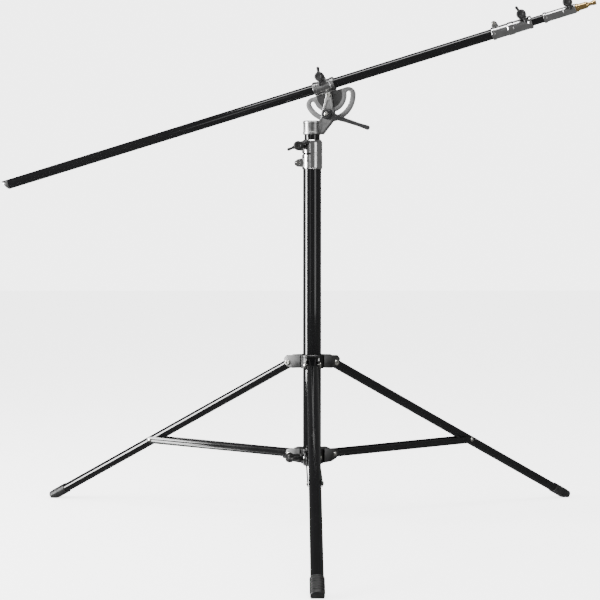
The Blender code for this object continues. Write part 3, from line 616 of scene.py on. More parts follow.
@dataclass(frozen=True)
class GreyCasting:
    """Satin die casting with a fine grain and edges rubbed bright."""

    name: str
    colour: Colour = (0.33, 0.33, 0.33)
    bright: Colour = (0.66, 0.66, 0.65)
    gloss: float = 0.33

    def material(self) -> bpy.types.Material:
        """Build the material."""
        surface = Surface(self.name, self.colour, self.gloss, 1.0)
        fine = surface.place()
        cloud = surface.noise(fine, 40.0, 5.0)
        body = surface.blend(surface.span(cloud, 0.3, 0.7, 0.0, 1.0),
                             tuple(value * 0.80 for value in self.colour),
                             tuple(value * 1.18 for value in self.colour))
        surface.tint(surface.blend(surface.edges(), body, self.bright))
        surface.polish(surface.span(cloud, 0.3, 0.75, self.gloss * 0.8, self.gloss * 1.35))
        surface.relief((surface.noise(fine, 160.0, 2.0), 0.20, 0.0004),
                       (surface.noise(fine, 1100.0, 3.0), 0.28, 0.00012))
        return surface.material


@dataclass(frozen=True)
class TurnedMetal:
    """Lathe-turned metal with tool rings about an axis, and painted shade near the axis on a face if a radius
    is given.
    """

    name: str
    colour: Colour
    gloss: float
    origin: tuple[float, float, float]
    turn: tuple[float, float, float]
    along: bool
    # radius within which a face is darkened: painted shade, as under the clamp on the disc; 0 for none
    painted_shade_radius: float = 0.0

    def material(self) -> bpy.types.Material:
        """Build the material: rings along the axis on a shank, or about it on a face, with painted shade
        within a radius of the axis when one is given.
        """
        surface = Surface(self.name, self.colour, self.gloss, 1.0)
        local = surface.place(origin=self.origin, turn=self.turn)
        split = surface.nodes.new("ShaderNodeSeparateXYZ")
        surface.links.new(local, split.inputs[0])
        if self.along:
            reach = split.outputs["Z"]
        else:
            flat = surface.nodes.new("ShaderNodeCombineXYZ")
            surface.links.new(split.outputs["X"], flat.inputs["X"])
            surface.links.new(split.outputs["Y"], flat.inputs["Y"])
            length = surface.nodes.new("ShaderNodeVectorMath")
            length.operation = "LENGTH"
            surface.links.new(flat.outputs[0], length.inputs[0])
            reach = length.outputs["Value"]
        line = surface.nodes.new("ShaderNodeCombineXYZ")
        surface.links.new(reach, line.inputs["X"])
        rings = surface.noise(line.outputs[0], 2600.0, 2.0, 0.7)
        cloud = surface.noise(surface.place(), 60.0, 4.0)
        dulled = surface.span(cloud, 0.35, 0.72, 0.0, 0.6)
        body = surface.blend(dulled, self.colour, tuple(value * 0.70 for value in self.colour))
        # painted shade: the face darkens to about a quarter of its colour within the radius
        if self.painted_shade_radius > 0.0:
            painted_shade_mask = surface.span(reach, self.painted_shade_radius - 0.0006, self.painted_shade_radius, 1.0, 0.0)
            body = surface.blend(painted_shade_mask, body, tuple(value * 0.26 for value in self.colour))
        surface.tint(body)
        surface.polish(surface.maths("ADD", surface.span(cloud, 0.3, 0.8, self.gloss * 0.7, self.gloss * 1.3),
                                     surface.span(rings, 0.3, 0.8, 0.0, 0.10)))
        surface.relief((rings, 0.35, 0.00006), (surface.noise(surface.place(), 900.0, 2.0), 0.06, 0.00005))
        return surface.material


@dataclass(frozen=True)
class Moulded:
    """Moulded plastic or rubber with a fine spark-eroded texture."""

    name: str
    colour: Colour
    gloss: float
    grain: float = 1400.0
    depth: float = 0.00010

    def material(self) -> bpy.types.Material:
        """Build the material."""
        surface = Surface(self.name, self.colour, self.gloss, 0.0)
        fine = surface.place()
        cloud = surface.noise(fine, 48.0, 4.0)
        body = surface.blend(surface.span(cloud, 0.35, 0.7, 0.0, 1.0), self.colour,
                             tuple(value * 1.7 + 0.002 for value in self.colour))
        worn = tuple(value * 2.2 + 0.005 for value in self.colour)
        surface.tint(surface.blend(surface.edges(0.53, 0.66), body, worn))
        surface.polish(surface.span(cloud, 0.3, 0.75, self.gloss * 0.82, min(self.gloss * 1.25, 1.0)))
        surface.relief((surface.noise(fine, self.grain, 2.0), 0.30, self.depth))
        return surface.material


@dataclass(frozen=True)
class PlatedSteel:
    """Zinc-plated hardware with a faint colour shift and fine scratches."""

    name: str
    colour: Colour = (0.66, 0.66, 0.63)
    gloss: float = 0.24

    def material(self) -> bpy.types.Material:
        """Build the material."""
        surface = Surface(self.name, self.colour, self.gloss, 1.0)
        fine = surface.place()
        cloud = surface.noise(fine, 180.0, 4.0)
        surface.tint(surface.blend(surface.span(cloud, 0.35, 0.7, 0.0, 1.0), self.colour, (0.50, 0.49, 0.44)))
        surface.polish(surface.span(cloud, 0.3, 0.75, self.gloss * 0.7, self.gloss * 1.6))
        surface.relief((surface.noise(surface.place((1.0, 1.0, 9.0)), 900.0, 2.0), 0.15, 0.00006))
        return surface.material


# ------------------------------------------------------------------ frames and account


class Frames:
    """The stand's own frames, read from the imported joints."""

    def __init__(self, joints: Sequence[dict]) -> None:
        """Work the frames out.

        Args:
            joints: the record's joints.
        """
        self.joints = {joint["name"]: joint for joint in joints}
        centre = Vector(self.joints["head_swivel"]["pos_m"])
        self.column = shift(centre.x, centre.y, 0.0)
        along = Vector(self.joints["boom_slide"]["axis"]).normalized()
        side = -Vector(self.joints["boom_tilt"]["axis"]).normalized()
        pivot = Vector(self.joints["boom_tilt"]["pos_m"])
        up = Vector((0.0, 0.0, 1.0))
        self.head = self.axes(Vector((centre.x, centre.y, 0.0)), side.cross(up), side, up)
        self.tilt = self.axes(pivot, along, side, along.cross(side))
        self.pivot_height = pivot.z
        self.pivot_reach = (self.head.inverted() @ pivot).x

    @staticmethod
    def axes(origin: Vector, x: Vector, y: Vector, z: Vector) -> Matrix:
        """Return a frame from an origin and three unit directions."""
        matrix = Matrix((x, y, z)).transposed().to_4x4()
        matrix.translation = origin
        return matrix

    def place_of(self, joint: str) -> Vector:
        """Return a hinge's position."""
        return Vector(self.joints[joint]["pos_m"])

    def radial(self, joint: str) -> Matrix:
        """Return the frame on the floor at the column, with +X out towards a tripod hinge."""
        across = Vector(self.joints[joint]["axis"]).normalized()
        up = Vector((0.0, 0.0, 1.0))
        return self.axes(self.column.translation, across.cross(up), across, up)

    def hinged(self, joint: str, slope: float) -> Matrix:
        """Return a tripod hinge's frame, with +X along the limb, sloping down in degrees."""
        matrix = self.radial(joint)
        matrix.translation = self.place_of(joint)
        return matrix @ Matrix.Rotation(math.radians(slope), 4, "Y")


def publish(name: str, mesh: bpy.types.Mesh, finish: bpy.types.Material, body: str,
            replaced: Sequence[str] = ()) -> bpy.types.Object:
    """Show a finished piece on the frame.

    Args:
        name: the piece's name.
        mesh: its mesh in the row frame.
        finish: its material.
        body: the CAD body that it rides on.
        replaced: the CAD nodes that it stands for.

    Returns:
        The piece.
    """
    mesh.name = name
    mesh.materials.clear()
    mesh.materials.append(finish)
    piece = bpy.data.objects.new(name, mesh)
    bpy.context.scene.collection.objects.link(piece)
    bpy.context.view_layer.update()
    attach(piece, body)
    if replaced:
        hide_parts(*replaced)
    LOG.info("%s: %d faces on %s", name, len(mesh.polygons), body)
    return piece


# ------------------------------------------------------------------ workshop


def threaded(radius: float, top: float, bottom: float, pitch: float = 0.0010) -> list[Point]:
    """Return the profile of a threaded shank, from its top down."""
    count = max(int(round((top - bottom) / pitch)), 1)
    step = (top - bottom) / count
    root = radius - 0.35 * pitch
    points: list[Point] = []
    for k in range(count):
        points += [(root, top - step * k), (radius, top - step * (k + 0.5))]
    return points + [(root, bottom)]


def hexagon(radius: float) -> list[Point]:
    """Return a hexagon by its corner radius."""
    return arc((0.0, 0.0), radius, 0.0, 300.0, 6)


def oval(half_width: float, half_height: float, count: int = 17) -> list[Point]:
    """Return a tube's oval section for ALONG_X: wide along local Y, with round sides."""
    flat = half_width - half_height
    return (arc((0.0, flat), half_height, 0.0, 180.0, count)
            + arc((0.0, -flat), half_height, 180.0, 360.0, count))


@dataclass
class Workshop:
    """What every sub-assembly uses: the stand's frames, the finishes and the node recipes."""

    frames: Frames
    finishes: dict[Slot, bpy.types.Material]
    polar: PolarCopies = field(default_factory=PolarCopies)
    row: RowCopies = field(default_factory=RowCopies)
    sweep: OvalSweep = field(default_factory=OvalSweep)

    def show(self, name: str, mesh: bpy.types.Mesh, body: str, slot: Slot,
             replaced: Sequence[str] = ()) -> bpy.types.Object:
        """Publish a piece in its slot's finish."""
        return publish(name, mesh, self.finishes[slot], body, replaced)

    def around(self, item: Solid, count: int, slot: Slot, start: float = 0.0, step: float = 0.0,
               matrix: Matrix = Matrix.Identity(4)) -> Solid:
        """Return copies of an item turned about its local Z, as one solid.

        Args:
            item: what is copied; its own place is ignored and it is used up.
            count: number of copies.
            slot: the finish of the copies.
            start: turn of the first copy in degrees.
            step: turn between copies in degrees; 0 spreads them all round.
            matrix: place of the result.

        Returns:
            The copies.
        """
        mesh = self.polar.bake(Item=item.shape, Count=count, Start=math.radians(start),
                               Step=math.radians(step or 360.0 / count), Finish=self.finishes[slot])
        item.discard()
        return Solid(mesh, matrix)

    def along(self, item: Solid, count: int, offset: float, slot: Slot,
              matrix: Matrix = Matrix.Identity(4)) -> Solid:
        """Return copies of an item in a row along its local Z, as one solid."""
        mesh = self.row.bake(Item=item.shape, Count=count, Offset=(0.0, 0.0, offset),
                             Finish=self.finishes[slot])
        item.discard()
        return Solid(mesh, matrix)

    def socket_screw(self, matrix: Matrix, shank: float, head_r: float = 0.0044, head_h: float = 0.0036,
                     shank_r: float = 0.0024) -> Solid:
        """Return a knurled socket screw with its head above local zero.

        Args:
            matrix: place of the seat, with +Z out of the hole.
            shank: length of the shank.
            head_r: radius of the head.
            head_h: height of the head.
            shank_r: radius of the thread.

        Returns:
            The screw.
        """
        head = rounded([(0.0, head_h, 0.0), (head_r, head_h, 0.0006), (head_r, 0.0, 0.0002),
                        (shank_r, 0.0, 0.0)], closed=False)
        screw = Solid.turned(head + threaded(shank_r, -0.0010, -shank) + [(0.0, -shank)], matrix, 64)
        tooth = Solid.slab([round_hole((head_r, 0.0), 0.00022, 8)], 0.0005, head_h - 0.0009)
        knurl = self.around(tooth, 30, Slot.STEEL, matrix=matrix)
        socket = Solid.slab([hexagon(head_r * 0.58)], head_h * 0.42, head_h + 0.001, matrix)
        return screw.joined(knurl).less(socket)

    def cap_nut(self, matrix: Matrix, radius: float = 0.0056, height: float = 0.0050) -> Solid:
        """Return a domed nut on a washer, with +Z away from the clamp."""
        dome = rounded([(0.0, height, 0.0), (radius * 0.62, height * 0.93, 0.0014),
                        (radius * 0.80, height * 0.62, 0.0), (radius * 0.80, height * 0.30, 0.0),
                        (0.0, height * 0.30, 0.0)], closed=False)
        washer = rounded([(0.0, 0.0009, 0.0), (radius * 1.08, 0.0009, 0.0002), (radius * 1.08, 0.0, 0.0),
                          (0.0, 0.0, 0.0)], closed=False)
        flats = Solid.slab([hexagon(radius)], 0.0008, height * 0.70, matrix).softened(0.0004, 2)
        return Solid.turned(washer, matrix, 48).joined(flats, Solid.turned(dome, matrix, 48))

    def through_bolt(self, half_grip: float, shank_r: float, head_r: float, head_h: float) -> Solid:
        """Return a through bolt along local Z, with a domed socket head at each end."""
        end = [(head_r * 0.45, half_grip + head_h * 0.35), (head_r * 0.45, half_grip + head_h)]
        crown = rounded([(*end[1], 0.0002), (head_r * 0.80, half_grip + head_h, 0.0006),
                         (head_r, half_grip + head_h * 0.45, 0.0005), (head_r, half_grip, 0.0),
                         (shank_r, half_grip, 0.0)], closed=False)
        upper = [(0.0, end[0][1]), end[0]] + crown
        lower = [(radius, -height) for radius, height in reversed(upper)]
        return Solid.turned(upper + lower, sides=48)

    def knob(self, name: str, body: str, place: Matrix, half_bar: float, shank: float,
             stem: float = 0.0) -> None:
        """Make a moulded T-shaped knob and its bolt.

        Args:
            name: the CAD node of the knob; its bolt's node is the same with _bolt.
            body: the body that both ride on.
            place: the seat of the knob in the row frame, with +Z away from the clamp.
            half_bar: half the length of the bar.
            shank: length of the bolt below the seat.
            stem: extra length under the bar.
        """
        hub, neck, hole, crown, low = 0.0112, 0.0080, 0.0033, 0.0185 + stem, 0.0040 + stem
        profile = rounded([(0.0, crown - 0.0012, 0.0), (0.0048, crown - 0.0012, 0.0003),
                           (0.0056, crown, 0.0004), (hub * 0.84, crown, 0.0016),
                           (hub, 0.0150 + stem, 0.0020), (hub, low + 0.0014, 0.0008), (neck, low, 0.0008),
                           (neck, 0.0, 0.0004), (hole, 0.0, 0.0), (hole, 0.0080, 0.0),
                           (0.0, 0.0080, 0.0)], closed=False, steps=5)
        tip, waist = 0.0036, 0.0066
        outline = (arc((0.0, half_bar - tip), tip, -10.0, 190.0, 13)
                   + rounded([(-0.0030, half_bar * 0.55, 0.010), (-waist, 0.0050, 0.004),
                              (-waist, -0.0050, 0.004), (-0.0030, -half_bar * 0.55, 0.010)], closed=False)
                   + arc((0.0, tip - half_bar), tip, 170.0, 370.0, 13)
                   + rounded([(0.0030, -half_bar * 0.55, 0.010), (waist, -0.0050, 0.004),
                              (waist, 0.0050, 0.004), (0.0030, half_bar * 0.55, 0.010)], closed=False))
        bar = Solid.slab([outline], 0.0095 + stem, 0.0172 + stem).softened(0.0019, 4)
        grip = Solid.slab([round_hole((hub - 0.0001, 0.0), 0.0008, 12)], low + 0.0022, low + 0.0098)
        ribs = self.around(grip.softened(0.0003, 1), 20, Slot.PLASTIC)
        moulding = Solid.turned(profile, sides=80).joined(ribs, bar)
        self.show(name + "_moulded", moulding.baked(place), body, Slot.PLASTIC, [name])
        top = 0.0077
        bolt = Solid.turned([(0.0, top)] + threaded(0.0030, top, -shank) + [(0.0, -shank)], sides=40)
        self.show(name + "_threaded_bolt", bolt.baked(place), body, Slot.STEEL, [name + "_bolt"])


def lug(outline: Sequence[Point], half: float, centre: Point, boss_r: float,
        boss_half: float) -> tuple[Solid, Solid]:
    """Return a clamp lug's plate and the round boss through it.

    Args:
        outline: the lug in the XZ plane.
        half: half the plate's thickness.
        centre: the bolt's place in that plane.
        boss_r: radius of the boss.
        boss_half: half the boss's length.

    Returns:
        The plate and the boss.
    """
    boss = rounded([(0.0, boss_half, 0.0), (boss_r, boss_half, 0.0005), (boss_r, -boss_half, 0.0005),
                    (0.0, -boss_half, 0.0)], closed=False, steps=3)
    return (Solid.slab([outline], -half, half, FACE_FRONT).softened(0.0011, 3),
            Solid.turned(boss, shift(centre[0], 0.0, centre[1]) @ FACE_FRONT, 48))


def crowned_lug(centre: float, half: float, base: float, top: float) -> list[Point]:
    """Return the outline of a lug with a round top, for the boom's clamps."""
    foot = [(centre - half - 0.0035, base), (centre + half + 0.0035, base)]
    return foot + arc((centre, top - half), half, 0.0, 180.0, 19)


def pin_hole(centre: Point, radius: float, half: float) -> Solid:
    """Return a drill for a bolt hole across a clamp, at a point of the XZ plane."""
    return Solid.drill(radius, -half, half, shift(centre[0], 0.0, centre[1]) @ FACE_FRONT, 40)


# ------------------------------------------------------------------ column


@dataclass
class Column:
    """The column tube with its plug, its split collar and the collar's hardware."""

    radius: float = 0.0225
    wall: float = 0.00175
    collar_r: float = 0.0250
    riser_r: float = 0.0190
    slot_z: float = 0.9175
    bolt_x: float = -0.0345
    knob_z: float = 0.937
    screw_z: float = 0.896
    knob_face: float = 0.0075
    screw_face: float = 0.0070
    knob_turn: float = 68.0
    cross_slot: float = 0.0020
    knob_bar: float = 0.0290
    knob_shank: float = 0.0148
    knob_stem: float = 0.0085

    def build(self, shop: Workshop) -> None:
        """Make and dress every piece."""
        place = shop.frames.column
        shop.show("column_tube_coated", self.tube().baked(place), "column", Slot.TUBE, ["column_tube"])
        shop.show("column_end_plug_moulded", self.plug(shop).baked(place), "column", Slot.PLUG,
                  ["column_end_plug"])
        shop.show("column_collar_cast", self.collar().baked(place), "column", Slot.BRIGHT,
                  ["column_collar"])
        screw_seat = shift(self.bolt_x, -self.screw_face - GAP, self.screw_z) @ FACE_FRONT
        shop.show("column_collar_socket_screw", shop.socket_screw(screw_seat, 0.0135).baked(place),
                  "column", Slot.STEEL, ["column_collar_screw"])
        nut_seat = shift(self.bolt_x, self.knob_face + GAP, self.knob_z) @ FACE_BACK
        shop.show("column_clamp_cap_nut", shop.cap_nut(nut_seat).baked(place), "column", Slot.STEEL,
                  ["column_clamp_nut"])
        knob_seat = shift(self.bolt_x, -self.knob_face - GAP, self.knob_z) @ FACE_FRONT
        shop.knob("column_knob", "column_knob",
                  place @ knob_seat @ Matrix.Rotation(math.radians(-self.knob_turn), 4, "Z"),
                  self.knob_bar, self.knob_shank, stem=self.knob_stem)

    def tube(self) -> Solid:
        """Return the tube, its ends broken by a small chamfer."""
        low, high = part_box("column_tube")
        bore, edge = self.radius - self.wall, 0.0003
        profile = rounded([(bore, high.z, edge), (self.radius, high.z, edge * 2),
                           (self.radius, low.z, edge * 2), (bore, low.z, edge)], steps=3)
        return Solid.turned(profile, sides=128)

    def plug(self, shop: Workshop) -> Solid:
        """Return the moulded plug that closes the tube's foot."""
        low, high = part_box("column_end_plug")
        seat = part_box("column_tube")[0].z
        inner = self.radius - self.wall - GAP
        profile = rounded([(0.0, high.z, 0.0), (inner - 0.0012, high.z, 0.0004),
                           (inner, high.z - 0.0020, 0.0005), (inner, seat - GAP, 0.0),
                           (self.radius, seat - GAP, 0.0004), (self.radius, seat - 0.0035, 0.0012),
                           (self.radius - 0.0025, low.z, 0.0010), (0.0135, low.z, 0.0004),
                           (0.0130, low.z + 0.0016, 0.0004), (0.0, low.z + 0.0016, 0.0)], closed=False)
        fin = Solid.box((0.0, -0.0006, low.z + 0.0004), (0.0132, 0.0006, low.z + 0.0030))
        return Solid.turned(profile).joined(shop.around(fin, 6, Slot.PLUG, start=7.0))

    def collar(self) -> Solid:
        """Return the split collar with its two pairs of lugs."""
        low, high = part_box("column_collar")
        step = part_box("column_tube")[1].z + GAP
        r = self.collar_r
        body = Solid.turned(rounded([
            (0.0, high.z, 0.0), (0.0214, high.z, 0.0008), (0.0230, high.z - 0.0022, 0.0030),
            (r, high.z - 0.0070, 0.0040), (r, self.slot_z + 0.0026, 0.0004),
            (r - 0.0006, self.slot_z, 0.0), (r, self.slot_z - 0.0026, 0.0004),
            (r, low.z + 0.0034, 0.0008), (r - 0.0007, low.z + 0.0026, 0.0),
            (r - 0.0001, low.z + 0.0018, 0.0006),
            (r - 0.0006, low.z, 0.0006), (0.0, low.z, 0.0)], closed=False, steps=4), sides=128)
        kz, sz = self.knob_z, self.screw_z
        upper = rounded([(-0.0200, kz - 0.0125, 0.0), (-0.0200, kz + 0.0125, 0.0),
                         (-0.0250, kz + 0.0118, 0.004), (-0.0380, kz + 0.0092, 0.006),
                         (-0.0447, kz + 0.0030, 0.006), (-0.0445, kz - 0.0050, 0.006),
                         (-0.0390, kz - 0.0105, 0.006), (-0.0250, kz - 0.0120, 0.004)])
        lower = rounded([(-0.0200, sz - 0.0105, 0.0), (-0.0200, sz + 0.0115, 0.0),
                         (-0.0250, sz + 0.0108, 0.004), (-0.0365, sz + 0.0082, 0.006),
                         (-0.0441, sz + 0.0022, 0.005), (-0.0440, sz - 0.0040, 0.005),
                         (-0.0372, sz - 0.0098, 0.006), (-0.0250, sz - 0.0108, 0.004)])
        body.joined(*lug(upper, 0.0066, (self.bolt_x, kz), 0.0076, self.knob_face),
                    *lug(lower, 0.0061, (self.bolt_x, sz), 0.0064, self.screw_face))
        return body.less(
            Solid.box((-0.060, -0.0010, self.slot_z), (-0.015, 0.0010, 0.970)),
            Solid.box((-0.060, -0.0009, 0.870), (-0.0152, 0.0009, 0.912)),
            Solid.box((-0.060, -0.030, self.slot_z - self.cross_slot),
                      (-0.004, 0.030, self.slot_z + self.cross_slot)),
            Solid.drill(self.radius + GAP, low.z - 0.01, step),
            Solid.drill(self.riser_r + GAP, step - 0.01, high.z + 0.01),
            pin_hole((self.bolt_x, kz), 0.0033, 0.010),
            pin_hole((self.bolt_x, sz), 0.0027, 0.010))


@dataclass
class Riser:
    """The sliding upper section of the column."""

    radius: float = 0.0190
    wall: float = 0.0015

    def build(self, shop: Workshop) -> None:
        """Make and dress the tube."""
        low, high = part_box("riser_tube")
        bore, edge = self.radius - self.wall, 0.0003
        profile = rounded([(bore, high.z, edge), (self.radius, high.z, edge * 2),
                           (self.radius, low.z, edge * 2), (bore, low.z, edge)], steps=3)
        tube = Solid.turned(profile, sides=128)
        shop.show("riser_tube_coated", tube.baked(shop.frames.column), "riser", Slot.TUBE, ["riser_tube"])


# ------------------------------------------------------------------ tilting head


@dataclass
class TiltHead:
    """The swivelling head casting, its pivot bolt and nut, the stud and the ratchet lever."""

    socket_r: float = 0.0226
    riser_r: float = 0.0190
    fork_half: float = 0.0110
    disc_r: float = 0.0645
    disc_half: float = 0.0035
    slot_r: float = 0.047
    lever_length: float = 0.112
    lever_droop: float = 18.7

    def build(self, shop: Workshop) -> None:
        """Make and dress every piece."""
        place, x, z = shop.frames.head, shop.frames.pivot_reach, shop.frames.pivot_height
        shop.show("head_casting_satin", self.casting(x, z).baked(place), "head", Slot.GREY,
                  ["head_casting"])
        front = shift(x, -self.fork_half - GAP, z) @ FACE_FRONT
        bolt = shop.socket_screw(front, 2 * self.fork_half - 0.0006, 0.0058, 0.0040, 0.0030)
        shop.show("tilt_pivot_socket_bolt", bolt.baked(place), "head", Slot.STEEL, ["tilt_pivot_bolt"])
        back = shift(x, self.fork_half + GAP, z) @ FACE_BACK
        shop.show("tilt_pivot_cap_nut", shop.cap_nut(back, 0.0062, 0.0052).baked(place), "head",
                  Slot.STEEL, ["tilt_pivot_nut"])
        stud_z = z - self.slot_r
        shop.show("lever_stud_threaded", self.stud(x, stud_z).baked(place), "head", Slot.STEEL,
                  ["lever_stud"])
        seat = shift(x, -self.fork_half - GAP, stud_z) @ FACE_FRONT
        turned = seat @ Matrix.Rotation(math.radians(-self.lever_droop), 4, "Z")
        shop.show("tilt_lever_moulded", self.lever().baked(place @ turned), "lever", Slot.PLASTIC,
                  ["tilt_lever"])
        shop.show("lever_cap_socket_screw", self.cap_screw().baked(place @ seat), "lever", Slot.STEEL,
                  ["lever_cap_screw"])

    def casting(self, x: float, z: float) -> Solid:
        """Return the socket on the riser and the fork that straddles the tilt disc.

        Args:
            x: reach of the tilt pivot.
            z: height of the tilt pivot.

        Returns:
            The casting.
        """
        low, stud_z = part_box("head_casting")[0].z, z - self.slot_r
        top, r = low + 0.0340, self.socket_r
        socket = Solid.turned(rounded([
            (0.0, top, 0.0), (0.0196, top, 0.0004), (0.0200, top - 0.0006, 0.0),
            (r - 0.0012, top - 0.0006, 0.0006),
            (r, top - 0.0026, 0.0008), (r, top - 0.0070, 0.0), (r - 0.0007, top - 0.0078, 0.0004),
            (r - 0.0007, low + 0.0068, 0.0004), (r, low + 0.0060, 0.0), (r, low + 0.0016, 0.0008),
            (r - 0.0012, low, 0.0005), (0.0, low, 0.0)], closed=False, steps=4), sides=128)
        crown = arc((x, z), 0.0078, -12.0, 195.0, 21)
        fork = rounded([(0.0150, top - 0.0050, 0.0), (0.0205, low + 0.0006, 0.0),
                        (0.0275, low + 0.0006, 0.0022), (0.0575, z - 0.0570, 0.0050)]
                       + [(px, pz, 0.0) for px, pz in crown] + [(0.0240, z - 0.0560, 0.0080)])
        plate = Solid.slab([fork], -self.fork_half, self.fork_half, FACE_FRONT).softened(0.0012, 3)
        pocket = rounded([(0.0265, low + 0.0060, 0.002), (0.0530, z - 0.0555, 0.003),
                          (0.0482, z - 0.0130, 0.003), (0.0400, z - 0.0130, 0.003),
                          (0.0270, z - 0.0575, 0.004), (0.0240, top - 0.0020, 0.002)])
        depth = self.fork_half - 0.0012
        pockets = [Solid.slab([pocket], depth, 0.02, FACE_FRONT),
                   Solid.slab([pocket], -0.02, -depth, FACE_FRONT)]
        stud_boss = rounded([(0.0, self.fork_half, 0.0), (0.0108, self.fork_half, 0.0005),
                             (0.0108, -self.fork_half, 0.0005), (0.0, -self.fork_half, 0.0)],
                            closed=False, steps=3)
        socket.joined(plate).less(*pockets)
        socket.joined(Solid.turned(stud_boss, shift(x, 0.0, stud_z) @ FACE_FRONT, 64))
        slot_half = self.disc_half + GAP
        return socket.less(
            Solid.drill(self.riser_r + GAP, low - 0.01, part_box("riser_tube")[1].z + GAP),
            Solid.drill(self.disc_r + 0.0015, -slot_half, slot_half, shift(x, 0.0, z) @ FACE_FRONT, 160),
            pin_hole((x, z), 0.0033, 0.03), pin_hole((x, stud_z), 0.0043, 0.03))

    def stud(self, x: float, z: float) -> Solid:
        """Return the stud that the lever draws, its hexagon head at the back."""
        grip, seat = 2 * self.fork_half + GAP, shift(x, -self.fork_half, z) @ FACE_FRONT
        shank = Solid.turned([(0.0, 0.0200)] + threaded(0.0040, 0.0196, 0.0020, 0.00125)
                             + [(0.0040, 0.0015), (0.0040, -grip - 0.0010), (0.0, -grip - 0.0010)], seat, 48)
        head = Solid.slab([hexagon(0.0072)], -grip - 0.0052, -grip, seat).softened(0.0006, 2)
        return shank.joined(head)

    def lever(self) -> Solid:
        """Return the moulded lever, its arm along local X and its boss along local Z."""
        boss = Solid.turned(rounded([
            (0.0, 0.0260, 0.0), (0.0104, 0.0260, 0.0014), (0.0130, 0.0232, 0.0016),
            (0.0130, 0.0120, 0.0), (0.0126, 0.0114, 0.0003), (0.0130, 0.0108, 0.0),
            (0.0130, 0.0020, 0.0010), (0.0118, 0.0, 0.0006), (0.0, 0.0, 0.0)], closed=False, steps=4))
        tip = arc((self.lever_length - 0.0058, 0.0), 0.0058, -80.0, 80.0, 15)
        arm = (rounded([(0.0, -0.0092, 0.0), (0.022, -0.0074, 0.02), (0.050, -0.0052, 0.03),
                        (0.084, -0.0046, 0.03), (self.lever_length - 0.0048, -0.00571, 0.0)], closed=False)
               + tip[1:-1]
               + rounded([(self.lever_length - 0.0048, 0.00571, 0.0), (0.084, 0.0046, 0.03),
                          (0.050, 0.0052, 0.03), (0.022, 0.0074, 0.02), (0.0, 0.0092, 0.0)], closed=False))
        solid_arm = Solid.slab([arm], 0.0146, 0.0224).softened(0.0024, 4, 50.0)
        boss.joined(solid_arm)
        return boss.less(Solid.drill(0.0043, -0.001, 0.0203), Solid.drill(0.0052, 0.0240, 0.0300))

    def cap_screw(self) -> Solid:
        """Return the screw in the lever's boss."""
        profile = rounded([(0.0, 0.0272, 0.0), (0.0030, 0.0279, 0.0006), (0.0047, 0.0272, 0.0006),
                           (0.0048, 0.0243, 0.0002), (0.0, 0.0243, 0.0)], closed=False)
        return Solid.turned(profile, sides=64).less(Solid.slab([hexagon(0.0023)], 0.0258, 0.0300))


